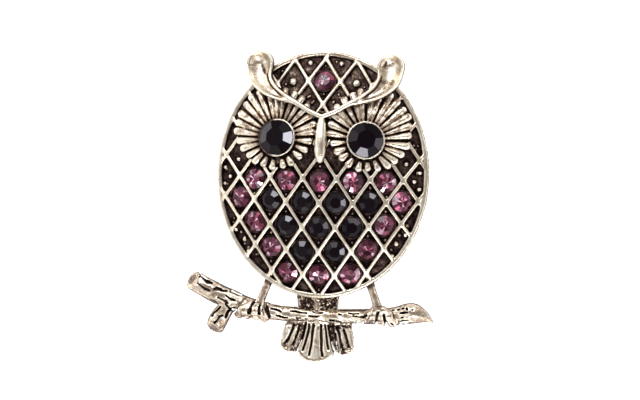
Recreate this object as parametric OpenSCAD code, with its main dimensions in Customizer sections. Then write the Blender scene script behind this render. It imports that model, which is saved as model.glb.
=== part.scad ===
// Owl brooch that lies on its back, front up. Sizes are in millimetres.
// X runs across the owl, Y towards its ears and Z out of its front.
// The origin is on the surface that it rests on, below the middle of its outline.

/* [Body] */
// Width of the domed oval body
body_w = 33; // [30:0.5:38]
// Height of the domed oval body
body_h = 38.3; // [34:0.1:43]
// Rise of the dome above its rim
dome_rise = 4; // [3.4:0.2:5]
// Thickness of the casting at the rim
rim_t = 1.6; // [1.4:0.1:2.2]
// Wall of the hollow dome
wall = 1.4; // [1.2:0.1:1.8]
// Width of the raised rim
rim_w = 0.75; // [0.6:0.05:1]
// Height of the rim above the lattice that meets it
rim_lift = 0.2; // [0.1:0.05:0.4]
// Width of the flat ring round the hollow back
back_ring_w = 2.4; // [2:0.1:3]
// Height of the body's back above the surface
back_z = 2.6; // [2.4:0.1:3]

/* [Lattice and stones] */
// Number of diamond cells across the body
cells_across = 6.28; // [6.2:0.02:6.4]
// Number of diamond cells up the body
cells_up = 4.97; // [4.9:0.01:5.05]
// Width of a lattice rib
rib_w = 0.6; // [0.45:0.05:0.7]
// Height of a lattice rib above the floor of its cells
rib_h = 0.7; // [0.6:0.05:0.85]
// Diameter of a lattice stone
stone_d = 3.1; // [2.8:0.05:3.2]
// Diameter of an eye stone
eye_d = 5.3; // [4.8:0.1:5.5]
// Wall of the cup round a lattice stone
cup_wall = 0.25; // [0.2:0.05:0.35]
// Clearance round a stone in its seat
seat_gap = 0.06; // [0.05:0.01:0.08]
// Radius of the largest ball pip
pip_r = 0.66; // [0.5:0.02:0.8]

/* [Face] */
// Number of rays round each eye
rays = 26; // [20:1:28]
// Radius of the circle that the ray tips lie on
ray_reach = 6.65; // [6:0.05:7]
// Width of a ray at its tip
ray_w = 1.2; // [0.8:0.02:1.3]
// Wall of the bezel round an eye stone
bezel_w = 0.25; // [0.2:0.05:0.4]
// Height of the ears above the top of the body, below 0 where they end lower
ear_up = -0.1; // [-0.5:0.1:1.5]
// Radius of an ear's round end
ear_r = 2.15; // [1.9:0.05:2.4]
// Thickness of an ear
ear_t = 2.2; // [2:0.1:2.6]
// Width of the raised edge round an ear
ear_edge = 0.55; // [0.4:0.05:0.65]
// Half of the beak's greatest width
beak_r = 0.85; // [0.7:0.05:1]

/* [Branch, legs and tail] */
// Distance from the middle line to the cut end of the branch
branch_left = 21.1; // [19:0.2:24]
// Distance from the middle line to the leaf-shaped tip of the branch
branch_right = 17.6; // [16:0.2:20]
// Distance from the bottom of the body down to the branch's middle line
branch_gap = 2.75; // [2.6:0.05:4]
// Radius of the branch at its cut end
branch_r = 1.4; // [1.2:0.02:1.5]
// Height of the branch's middle line above the surface
branch_z = 1.4; // [1.2:0.05:1.6]
// Radius of a leg
leg_r = 0.6; // [0.5:0.02:0.7]
// Width of a foot across its toes
foot_w = 4.9; // [4:0.1:5.4]
// Length of the tail below the branch's middle line
tail_l = 7.4; // [6:0.1:9]
// Width of the tail across its three feathers
tail_w = 11.5; // [10:0.1:13]
// Thickness of the tail
tail_t = 1.7; // [1.4:0.1:2]
// Width of the tail's stem between the body and the branch
stem_w = 6.1; // [5:0.1:7]

/* [Pin back] */
// Length of bar that lies on the back ring at each end
bar_seat = 1.5; // [1.2:0.1:1.7]
// Width of the flat bar
bar_w = 3.4; // [3:0.1:4]
// Thickness of the flat bar
bar_t = 0.8; // [0.6:0.05:0.9]
// Distance from the body's centre up to the bar's middle line
pin_y = 5.5; // [4:0.1:7]
// Diameter of the pin stem
pin_d = 0.8; // [0.7:0.05:0.9]
// Length of the hinge block and of the catch along the stem
block_l = 2.2; // [1.8:0.1:2.6]
// Thin gap of solder or glue between the bar and the casting
joint_gap = 0.05; // [0.04:0.01:0.08]

/* [Hidden] */
a = body_w / 2;
b = body_h / 2;
oval = b / a;
rim_top = back_z + rim_t;
ear_top = b + ear_up;
branch_drop = b + branch_gap;
tail_drop = branch_drop + tail_l;
// Middle of the outline, measured from the body's centre
middle = [(branch_right - branch_left) / 2, (max(b, ear_top) - tail_drop) / 2];

// Sides of each round form in turn, kept low where the form is small
rim_fn = 32;
dome_fn = 24;
girdle_fn = 16;
table_fn = 8;
bezel_fn = 16;
cup_fn = 10;
ear_fn = 12;
ball_fn = 8;
post_fn = 6;
ray_fn = 5;
rib_fn = 4;
dome_rings = 3;
// How much narrower the top of a post is than its foot: usual, for ribs, and for pips
post_taper = 0.6;
rib_taper = 0.7;
pip_taper = 0.55;
// How deep a raised form is rooted in the dome below its floor
root = 0.3;
// Height of a tool that cuts down from the front of the dome
cut_top = rim_top + 2 * dome_rise;

// Half of a cell's width and height at the middle of the dome
half_w = body_w / cells_across / 2;
half_h = body_h / cells_up / 2;
// How far the lattice sits below the dome's middle, in half cells
row_shift = -0.16;
// How much cell widths and heights shrink towards the sides and towards the ends of the dome
shrink_w = [0.05, 0.09];
shrink_h = [0.21, 0.035];

// Centre of the right eye, and how far its ray circle is shifted, as shares of the half sizes
eye_share = [0.415, 0.283];
ray_shift = [0.03, 0.085];
eye_p = [eye_share[0] * a, eye_share[1] * b];
ray_centre = eye_p + [ray_shift[0] * a, ray_shift[1] * b];
// Rise of rays and bezels above the ribs, and of the eye stone's girdle
ray_up = 0.25;
bezel_up = 0.5;
eye_sit = 0.45;
// Depth of a lattice stone's girdle and of its cup's edge below the ribs
stone_sit = -0.4;
cup_sit = -0.25;
// How much wider the foot of a cup is than its edge
cup_flare = 0.4;

// Proportions of a cut stone, as shares of its diameter
table_share = 0.56;
crown_share = 0.17;
girdle_share = 0.03;
pavilion_share = 0.34;
culet_share = 0.08;

// Lattice rows with a stone in every second cell: name, row, first column, and a letter for each
// stone, p for purple and k for black
ROWS = [
    ["a", -0.12, -4, "ppppp"],
    ["b", -0.98, -5, "pkkkkp"],
    ["c", -2, -4, "pkkkp"],
    ["d", -3, -3, "pkkp"],
    ["e", -4, -2, "ppp"],
    ["f", 4.03, 0, "p"]
];
function stone_name(r, k) = str(r[3][k] == "p" ? "purple" : "black", "_stone_", r[0], k + 1);
// One entry for each stone: name, column, row, letter
STONES = [
    for (r = ROWS)
        for (k = [0 : len(r[3]) - 1])
            [stone_name(r, k), r[2] + 2 * k, r[1], r[3][k]]
];

// Ball pips in the lattice on one side: column, row, radius as a share of the largest
PIPS = [
    [2, 4, 1], [1, 4.8, 0.62], [5.15, 0.75, 0.56], [6.05, 0.38, 0.45], [5.68, -0.06, 0.5],
    [6.05, -0.42, 0.42], [5.3, -2.55, 0.45], [4.75, -2.9, 0.5], [4.55, -3.4, 0.45],
    [3.1, -4.2, 0.5], [2.5, -4.55, 0.45]
];

// Place of the brow's middle and of an ear's round end, as shares of the half sizes
brow_y = 0.462 * b;
ear_x = 0.618 * a;
// Sections of a brow and ear, middle line first: x share, y share of the climb from the brow,
// radius share, height above the rim as a share of the dome's rise
EAR = [
    [0, 0, 0.18, 1.02],
    [0.206, 0.112, 0.18, 1],
    [0.41, 0.261, 0.2, 0.97],
    [0.63, 0.373, 0.36, 0.9],
    [0.84, 0.528, 0.58, 0.77],
    [0.975, 0.752, 0.82, 0.59],
    [1, 1, 1, 0.45]
];
// First section with a hollow front, and the hollow's depth
ear_hollow_from = 3;
ear_hollow = 0.45;
// Sections of the beak: y share of the half height, radius share, rise above the ribs
BEAK = [
    [0.435, 0.65, 0.85],
    [0.38, 0.88, 1],
    [0.26, 1, 1.25],
    [0.165, 0.97, 1.1],
    [0.13, 0.75, 0.85]
];

// Sections of the branch: x share of the left or right reach, y share of its drop, radius share
BRANCH = [
    [-0.965, 0.775, 1],
    [-0.93, 0.795, 1.1],
    [-0.745, 0.882, 1.13],
    [-0.52, 0.958, 1],
    [-0.33, 0.99, 0.84],
    [-0.13, 0.998, 0.76],
    [0.24, 1, 0.78],
    [0.62, 0.988, 0.95],
    [0.8, 0.961, 1.14],
    [0.88, 0.973, 0.86],
    [0.94, 0.99, 0.52],
    [1, 1.018, 0.12]
];
// Sections of the side twig in the same shares
TWIG = [
    [-0.665, 0.913, 0.9],
    [-0.712, 0.985, 0.9],
    [-0.758, 1.057, 1.05],
    [-0.788, 1.12, 1]
];
// Sides of a branch, and how deep every second side lies as a share of the radius
bark_sides = 10;
bark_depth = 0.16;

// Legs: x and y share at the body, then at the ankle, of the half width and the branch's drop, and
// how far the foot is set out from its ankle as a share of its width
LEGS = [
    [[-0.45, 0.7], [-0.57, 0.93], -0.24],
    [[0.445, 0.7], [0.557, 0.935], 0.06]
];
// Toes: place at the ankle and at the tip as shares of the foot's width, radius share
TOES = [
    [-0.16, -0.42, 1.2],
    [-0.05, -0.15, 1.1],
    [0.05, 0.13, 1.1],
    [0.16, 0.4, 1.2]
];
toe_r = 0.52;
// How far the toes reach down the front of the branch, as a share of its radius
toe_reach = 0.6;

// Feathers: x at the top and at the end, length, half width at the top and at the end as shares of
// the tail's, number of ridges, thickness share
FEATHERS = [
    [-0.34, -0.4, 0.8, 0.13, 0.14, 3, 0.8],
    [0.295, 0.325, 0.813, 0.125, 0.135, 3, 0.8],
    [-0.05, -0.05, 1, 0.165, 0.24, 5, 1]
];
// How round the ends of a feather's ridges lie together, how much the ridges widen there, and how
// thin they end
fan_round = 0.8;
ridge_flare = 1.15;
ridge_end = 0.7;
// How much lower every second ridge lies
ridge_step = 0.14;
// Web between the feathers: where it begins and ends as shares of the tail's length, its thickness as
// a share of the tail's, and the height of its back
web_reach = [0.06, 0.55];
web_share = 0.5;
web_back = 0.23;
// Middle of the tail's stem, its ridges, how much they overlap, and the heights of its back and of
// its front where the branch crosses it
stem_x = -0.5;
stem_ridges = 3;
stem_overlap = 1.1;
stem_back = 0.58;
stem_front = 1.85;

// Sides of the pin back's round forms
bar_fn = 32;
pin_fn = 24;
// How much narrower than the bar its two blocks are, and the clearance round the pin in the catch
block_inset = 0.4;
catch_gap = 0.1;

function top_of(p) = rim_top + dome_rise * (1 - pow(p[0] / a, 2) - pow(p[1] / b, 2));
function floor_of(p) = top_of(p) - rib_h;
function reach_of(p) = norm([p[0] / a, p[1] / b]);
function shrink(p, s) = 1 - s[0] * pow(p[0] / a, 2) - s[1] * pow(p[1] / b, 2);
// Place of a lattice column and row on the dome, found in a few rounds as cells shrink outwards
function cell(i, j, p = [0, 0], rounds = 3) =
    rounds == 0 ? p : cell(i, j, cell_round(i, j, p), rounds - 1);
function cell_round(i, j, p) = [
    i * half_w * shrink(p, shrink_w),
    (j + row_shift) * half_h * shrink(p, shrink_h)
];
function unit(v) = v / norm(v);
function side_of(p) = [abs(p[0]), p[1]];
function in_rays(p) = norm(side_of(p) - ray_centre) < ray_reach - ray_w;

// Puts its children on the dome at p, upright to its surface, with the rib tops at height 0
module on_dome(p) {
    lean = [2 * dome_rise * p[0] / (a * a), 2 * dome_rise * p[1] / (b * b)];
    turn = atan2(lean[1], lean[0]);
    translate([p[0], p[1], top_of(p)])
        rotate([0, 0, turn])
            rotate([0, atan(norm(lean)), 0])
                rotate([0, 0, -turn])
                    children();
}

module both_sides() {
    children();
    mirror([1, 0, 0]) children();
}

// Upright post whose top is narrower than its foot
module post(p, r, low, high, taper = post_taper, sides = post_fn) {
    translate([p[0], p[1], low]) cylinder(h = high - low, r1 = r, r2 = r * taper, $fn = sides);
}

module ball(p, z, r) {
    translate([p[0], p[1], z]) sphere(r = r, $fn = ball_fn);
}

// Solid from height low up to a surface that runs drop below the rib tops, out to radius r
module dome_solid(drop, r, low) {
    function edge(x) = [x, top_of([x, 0]) - drop];
    scale([1, oval, 1])
        rotate_extrude($fn = dome_fn)
            polygon(concat([[0, low], [r, low]], [for (k = [dome_rings : -1 : 0]) edge(r * k / dome_rings)]));
}

module oval_column(r, low, high) {
    translate([0, 0, low]) scale([1, oval, 1]) cylinder(h = high - low, r = r, $fn = dome_fn);
}

module rim() {
    crest = rim_top + rim_lift;
    bevel = rim_w / 4;
    scale([1, oval, 1])
        rotate_extrude($fn = rim_fn)
            polygon([
                [a - rim_w - root, back_z],
                [a - bevel, back_z],
                [a, back_z + bevel],
                [a, crest - bevel],
                [a - bevel, crest],
                [a - rim_w + bevel, crest],
                [a - rim_w, crest - 2 * bevel],
                [a - rim_w - root, floor_of([a, 0])]
            ]);
}

module rib(p, q) {
    hull()
        for (e = [p, q]) post(e, rib_w * post_taper, floor_of(e) - root, top_of(e), rib_taper, rib_fn);
}

module lattice() {
    columns = ceil(cells_across);
    rows = ceil(cells_up);
    difference() {
        intersection() {
            union() {
                for (i = [-columns : columns - 1])
                    for (j = [-rows : rows])
                        if ((i + j) % 2 != 0)
                            for (step = [-1, 1]) {
                                p = cell(i, j);
                                q = cell(i + 1, j + step);
                                on_body = min(reach_of(p), reach_of(q)) < 1;
                                if (on_body && !(in_rays(p) && in_rays(q))) rib(p, q);
                            }
            }
            oval_column(a - rim_w / 2, back_z, cut_top);
        }
        both_sides() post(ray_centre, ray_reach - ray_w, back_z, cut_top, 1, bezel_fn);
    }
}

module pips() {
    both_sides()
        for (k = PIPS) {
            p = cell(k[0], k[1]);
            high = top_of(p) - stone_sit * (k[2] - 1);
            post(p, pip_r * k[2], floor_of(p) - root, high, pip_taper);
        }
}

// Cup that stands round a stone of diameter d, with its edge at height up over the rib tops
module cup(d, side_wall, up, sides) {
    r = d / 2 + seat_gap + side_wall;
    translate([0, 0, -rib_h - root]) cylinder(h = rib_h + root + up, r1 = r + cup_flare, r2 = r, $fn = sides);
}

// Space that a stone of diameter d and its clearance need below it and beside it
module pit(d, sit, sides) {
    r = (d / 2 + seat_gap) / cos(180 / sides);
    depth = (pavilion_share + culet_share) * d;
    translate([0, 0, sit - girdle_share * d]) {
        cylinder(h = d, r = r, $fn = sides);
        translate([0, 0, -depth]) cylinder(h = depth, r1 = 0, r2 = r, $fn = sides);
    }
}

// Round cut stone: eight-sided table, girdle at height sit, and a pointed back
module cut_stone(d, sit) {
    flat = girdle_share * d;
    turn = [0, 0, 180 / table_fn];
    translate([0, 0, sit])
        hull() {
            rotate(turn) cylinder(h = crown_share * d, r = table_share * d / 2, $fn = table_fn);
            translate([0, 0, -flat]) cylinder(h = flat, r = d / 2, $fn = girdle_fn);
            rotate(turn)
                translate([0, 0, -flat - pavilion_share * d])
                    cylinder(h = flat, r = culet_share * d / 2, $fn = table_fn);
        }
}

module eye_rays() {
    start = eye_d / 2 + seat_gap + bezel_w;
    foot_r = PI * start / rays;
    for (k = [0 : rays - 1]) {
        turn = 360 * (k + 0.5) / rays;
        tip = ray_centre + (ray_reach - ray_w / 2) * [cos(turn), sin(turn)];
        foot = eye_p + start * unit(tip - eye_p);
        hull() {
            post(foot, foot_r, floor_of(foot) - root, top_of(foot) + ray_up, rib_taper, rib_fn);
            post(tip, ray_w / 2, floor_of(tip) - root, top_of(tip) + ray_up, post_taper, ray_fn);
        }
    }
}

function ear_p(s) = [s[0] * ear_x, brow_y + s[1] * (ear_top - ear_r - brow_y)];
function ear_z(s) = rim_top + s[3] * dome_rise;

// Back of the brow and ear at a section: rooted in the dome, or ear_t below its front beyond the rim
function ear_foot(s) =
    min(ear_z(s) - ear_t, reach_of(ear_p(s)) < 1 ? floor_of(ear_p(s)) - root : ear_z(s));

// Part of a brow and ear between two neighbour sections, smaller by inset, or the hollow in its front
module ear_link(k, inset, hollow) {
    hull()
        for (s = [EAR[k], EAR[k + 1]]) {
            low = hollow ? ear_z(s) - ear_hollow : ear_foot(s);
            post(ear_p(s), s[2] * ear_r - inset, low, ear_z(s) + (hollow ? ear_t : 0), 1, ear_fn);
        }
}

module brow_and_ear() {
    difference() {
        for (k = [0 : len(EAR) - 2]) ear_link(k, 0, false);
        for (k = [ear_hollow_from : len(EAR) - 2]) ear_link(k, ear_edge, true);
    }
}

module beak() {
    hull()
        for (s = BEAK) {
            p = [0, s[0] * b];
            ball(p, top_of(p) + s[2] - s[1] * beak_r, s[1] * beak_r);
            ball(p, floor_of(p), s[1] * beak_r);
        }
}

function limb_p(s) = [s[0] * (s[0] < 0 ? branch_left : branch_right), -s[1] * branch_drop];
// Direction of a limb at section k, from its neighbours
function limb_way(t, k) = unit(limb_p(t[min(k + 1, len(t) - 1)]) - limb_p(t[max(k - 1, 0)]));
function limb_ring(t, k) = [
    for (m = [0 : bark_sides - 1])
        let (
            r = t[k][2] * branch_r * (1 - bark_depth * (m % 2)),
            turn = 360 * m / bark_sides,
            across = [-limb_way(t, k)[1], limb_way(t, k)[0]] * r * cos(turn)
        )
            [limb_p(t[k])[0] + across[0], limb_p(t[k])[1] + across[1], max(0, branch_z + r * sin(turn))]
];

// Ridged limb through the sections of table t, with a flat back on the surface
module limb(t) {
    n = bark_sides;
    last = (len(t) - 1) * n;
    polyhedron(
        points = [for (k = [0 : len(t) - 1]) each limb_ring(t, k)],
        faces = concat(
            [[for (m = [0 : n - 1]) m]],
            [for (k = [0 : len(t) - 2]) for (m = [0 : n - 1])
                [k * n + m, (k + 1) * n + m, (k + 1) * n + (m + 1) % n, k * n + (m + 1) % n]],
            [[for (m = [n - 1 : -1 : 0]) last + m]]
        )
    );
}

module leg_and_foot(leg) {
    hip = [leg[0][0] * a, -leg[0][1] * branch_drop];
    ankle = [leg[1][0] * a, -leg[1][1] * branch_drop];
    shift = leg[2];
    front = branch_z + branch_r;
    hull() {
        ball(hip, back_z + 2 * leg_r, leg_r);
        ball(ankle, front, leg_r);
    }
    for (t = TOES) {
        top = [ankle[0] + (shift / 2 + t[0]) * foot_w, ankle[1]];
        knuckle = [ankle[0] + (shift + (t[0] + t[1]) / 2) * foot_w, -branch_drop];
        end = [ankle[0] + (shift + t[1]) * foot_w, -branch_drop - branch_r * toe_reach];
        hull() {
            post(top, toe_r, branch_z, front, post_taper, ray_fn);
            post(knuckle, toe_r, branch_z, front + toe_r, post_taper, ray_fn);
            post(end, toe_r * t[2], branch_z, branch_z + 2 * toe_r, post_taper, ray_fn);
        }
    }
}

// One feather: a thin plate with raised ridges that end on a round edge
module feather(f) {
    half = f[4] * tail_w;
    ridge_r = half / f[5];
    thick = f[6] * tail_t;
    for (k = [0 : f[5] - 1]) {
        across = 2 * k / (f[5] - 1) - 1;
        fall = half * (1 - sqrt(1 - pow(fan_round * across, 2)));
        top_x = f[0] * tail_w + across * (f[3] * tail_w - ridge_r);
        end_x = f[1] * tail_w + across * (half - ridge_r);
        end_y = -branch_drop - f[2] * tail_l + ridge_r + fall;
        high = thick - ridge_step * (k % 2);
        hull() {
            post([top_x, -branch_drop], ridge_r, 0, high);
            post([end_x, end_y + half], ridge_r * ridge_flare, 0, high);
            post([end_x, end_y], ridge_r, 0, high * ridge_end);
        }
    }
}

// Thin web that joins the two outer feathers behind the middle one
module tail_web() {
    hull()
        for (f = [FEATHERS[0], FEATHERS[1]])
            for (down = web_reach) {
                x = f[0] + (f[1] - f[0]) * down;
                p = [x * tail_w, -branch_drop - down * tail_l];
                post(p, f[3] * tail_w / 2, web_back, web_share * tail_t);
            }
}

module tail() {
    rib_r = stem_w / 2 / stem_ridges;
    wide = rib_r * stem_overlap;
    for (k = [0 : stem_ridges - 1]) {
        x = stem_x + (k - (stem_ridges - 1) / 2) * 2 * rib_r;
        hull() {
            post([x, -b + back_ring_w / 2], wide, stem_back, back_z + root);
            post([x, -branch_drop], wide, stem_back, stem_front);
        }
    }
    for (f = FEATHERS) feather(f);
    tail_web();
}

// Everything that is cast in one piece: body, face, branch and tail
module owl_casting() {
    color("#cdbf98")
        translate([-middle[0], -middle[1], 0])
            difference() {
                union() {
                    dome_solid(rib_h, a - rim_w / 2, back_z);
                    rim();
                    lattice();
                    pips();
                    for (s = STONES) on_dome(cell(s[1], s[2])) cup(stone_d, cup_wall, cup_sit, cup_fn);
                    both_sides() {
                        on_dome(eye_p) cup(eye_d, bezel_w, bezel_up, bezel_fn);
                        eye_rays();
                        brow_and_ear();
                    }
                    beak();
                    limb(BRANCH);
                    limb(TWIG);
                    for (leg = LEGS) leg_and_foot(leg);
                    tail();
                }
                dome_solid(rib_h + wall, a - back_ring_w, back_z - root);
                for (s = STONES) on_dome(cell(s[1], s[2])) pit(stone_d, stone_sit, cup_fn);
                both_sides() on_dome(eye_p) pit(eye_d, eye_sit, bezel_fn);
            }
}

module eye_stone(side) {
    color("#101014")
        translate([-middle[0], -middle[1], 0])
            on_dome([side * eye_p[0], eye_p[1]]) cut_stone(eye_d, eye_sit);
}

module lattice_stone(s) {
    color(s[3] == "p" ? "#7d3b5c" : "#101014")
        translate([-middle[0], -middle[1], 0])
            on_dome(cell(s[1], s[2])) cut_stone(stone_d, stone_sit);
}

// Flat bar with a hinge block, a pin stem and an open catch, all in one
module pin_back() {
    inner = a - back_ring_w;
    half = inner * sqrt(1 - pow(pin_y / (inner * oval), 2)) + bar_seat;
    under = back_z - joint_gap - bar_t;
    block_w = bar_w - 2 * block_inset;
    stem_z = under - pin_d;
    block_x = half - bar_w / 2 - block_l / 2;
    slot = pin_d / 2 + catch_gap;
    block_top = under + bar_t / 2;
    color("#b9ab86")
        translate([-middle[0], pin_y - middle[1], 0]) {
            translate([0, 0, under]) {
                translate([-half + bar_w / 2, -bar_w / 2, 0]) cube([2 * half - bar_w, bar_w, bar_t]);
                for (x = [-1, 1])
                    translate([x * (half - bar_w / 2), 0, 0]) cylinder(h = bar_t, d = bar_w, $fn = bar_fn);
            }
            translate([-block_x - block_l / 2, -block_w / 2, 0]) cube([block_l, block_w, block_top]);
            translate([-block_x, 0, stem_z])
                rotate([0, 90, 0]) cylinder(h = 2 * block_x, d = pin_d, $fn = pin_fn);
            difference() {
                translate([block_x - block_l / 2, -block_w / 2, 0]) cube([block_l, block_w, block_top]);
                translate([block_x - block_l, 0, stem_z]) {
                    rotate([0, 90, 0]) cylinder(h = 2 * block_l, r = slot, $fn = pin_fn);
                    translate([0, 0, -slot]) cube([2 * block_l, block_w, 2 * slot]);
                }
            }
        }
}

owl_casting();
eye_stone(-1);  // left_eye_stone
eye_stone(1);  // right_eye_stone
pin_back();
for (s = STONES) lattice_stone(s);
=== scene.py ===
"""Owl brooch that lies on its back: antique gold casting with purple and black stones.
Shapes are worked out in millimetres from the body's centre on the surface, then placed in the frame."""

import math

import bpy
import numpy as np
import openvdb
from mathutils import Matrix, Vector


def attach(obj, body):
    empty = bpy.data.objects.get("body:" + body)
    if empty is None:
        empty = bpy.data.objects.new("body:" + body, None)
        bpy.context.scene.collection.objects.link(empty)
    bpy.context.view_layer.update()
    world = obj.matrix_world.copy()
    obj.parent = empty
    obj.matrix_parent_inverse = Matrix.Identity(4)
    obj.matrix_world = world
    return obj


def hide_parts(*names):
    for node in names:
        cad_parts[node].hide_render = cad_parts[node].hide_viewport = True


MM = 0.001

# Body: half width, half height, dome, rim and back, as the frame has them
A = 16.5
B = 19.15
DOME_RISE = 4.0
RIM_T = 1.6
WALL = 1.4
RIM_W = 0.75
RIM_LIFT = 0.2
BACK_RING_W = 2.4
BACK_Z = 2.6
RIM_TOP = BACK_Z + RIM_T

# Lattice cells, ribs and stones
HALF_W = A / 6.28
HALF_H = B / 4.97
ROW_SHIFT = -0.16
SHRINK_W = (0.05, 0.09)
SHRINK_H = (0.21, 0.035)
RIB_W = 0.56
RIB_H = 0.7
STONE_D = 3.1
EYE_D = 5.3
CUP_WALL = 0.25
BEZEL_W = 0.25
SEAT_GAP = 0.06
STONE_SIT = -0.4
CUP_SIT = -0.25
EYE_SIT = 0.45
BEZEL_UP = 0.5
PIP_R = 0.66

# Face: the right eye, the circle of ray tips round it, brow, ears and beak
EYE = np.array([0.415 * A, 0.283 * B])
RAY_CENTRE = EYE + np.array([0.03 * A, 0.085 * B])
RAYS = 26
RAY_REACH = 6.65
RAY_W = 1.2
RAY_UP = 0.25
EAR_TOP = B - 0.1
EAR_R = 2.15
EAR_T = 2.2
EAR_EDGE = 0.55
BROW_Y = 0.462 * B
EAR_X = 0.618 * A
BEAK_R = 0.85

# Branch, legs and tail
BRANCH_LEFT = 21.1
BRANCH_RIGHT = 17.6
BRANCH_R = 1.4
BRANCH_Z = 1.4
BRANCH_DROP = B + 2.75
LEG_R = 0.6
FOOT_W = 4.9
TOE_R = 0.52
TAIL_L = 7.4
TAIL_W = 11.5
TAIL_T = 1.7

# The body's centre in the frame, whose origin lies below the middle of the outline
CENTRE = np.array([(BRANCH_LEFT - BRANCH_RIGHT) / 2, (BRANCH_DROP + TAIL_L - max(B, EAR_TOP)) / 2, 0])

# Rows of stones: name, row, first column, p for purple and k for black in every second cell
STONE_ROWS = [
    ("a", -0.12, -4, "ppppp"),
    ("b", -0.98, -5, "pkkkkp"),
    ("c", -2, -4, "pkkkp"),
    ("d", -3, -3, "pkkp"),
    ("e", -4, -2, "ppp"),
    ("f", 4.03, 0, "p"),
]
# Ball pips on one side: column, row, radius as a share of the largest
PIPS = [
    (2, 4, 1), (1, 4.8, 0.62), (5.15, 0.75, 0.56), (6.05, 0.38, 0.45), (5.68, -0.06, 0.5),
    (6.05, -0.42, 0.42), (5.3, -2.55, 0.45), (4.75, -2.9, 0.5), (4.55, -3.4, 0.45),
    (3.1, -4.2, 0.5), (2.5, -4.55, 0.45),
]
# Small loop where the lattice ends above the brow: y, half width, half height
LOOP = (9.95, 0.6, 0.34)
# Sections of a brow and ear: x share, y share of the climb, radius share, height share of the dome
EAR = [
    (0, 0, 0.18, 1.02), (0.206, 0.112, 0.18, 1), (0.41, 0.261, 0.2, 0.97), (0.63, 0.373, 0.36, 0.9),
    (0.84, 0.528, 0.58, 0.77), (0.975, 0.752, 0.82, 0.59), (1, 1, 1, 0.45),
]
# Sections of the beak: y share of the half height, radius share, rise above the ribs
BEAK = [
    (0.435, 0.62, 0.85), (0.38, 0.9, 1), (0.26, 1.14, 1.25), (0.175, 1.1, 1.1), (0.115, 0.62, 0.7),
]
# Sections of the branch: x share of the reach on that side, y share of the drop, radius share
BRANCH = [
    (-0.965, 0.775, 1), (-0.93, 0.795, 1.1), (-0.745, 0.882, 1.13), (-0.52, 0.958, 1),
    (-0.33, 0.99, 0.84), (-0.13, 0.998, 0.76), (0.24, 1, 0.78), (0.62, 0.988, 0.95),
    (0.8, 0.961, 1.14), (0.88, 0.973, 0.86), (0.94, 0.99, 0.52), (1, 1.018, 0.12),
]
TWIG = [(-0.665, 0.913, 0.9), (-0.712, 0.985, 0.9), (-0.758, 1.057, 1.05), (-0.788, 1.12, 1)]
# Legs: x and y share at the body, then at the ankle, and how far the foot is set out from its ankle
# as a share of the foot's width
LEGS = [((-0.45, 0.7), (-0.57, 0.93), -0.24), ((0.445, 0.7), (0.557, 0.935), 0.06)]
# Toes: place at the ankle and at the tip as shares of the foot's width, radius share
TOES = [(-0.16, -0.42, 1.2), (-0.05, -0.15, 1.1), (0.05, 0.13, 1.1), (0.16, 0.4, 1.2)]
# Feathers: x at the top and at the end, length, half width at the top and at the end as shares of
# the tail's, how flat the round end is, thickness share
FEATHERS = [
    (-0.33, -0.4, 0.8, 0.1, 0.14, 0.9, 0.8),
    (0.295, 0.325, 0.813, 0.115, 0.135, 0.9, 0.8),
    (-0.05, -0.05, 1, 0.165, 0.24, 0.62, 1),
]
# Stem of the tail: its middle, how far out its side ribs lie, and a rib's radius
STEM_X = -0.5
STEM_GAP = 2.5
STEM_R = 0.55

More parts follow.
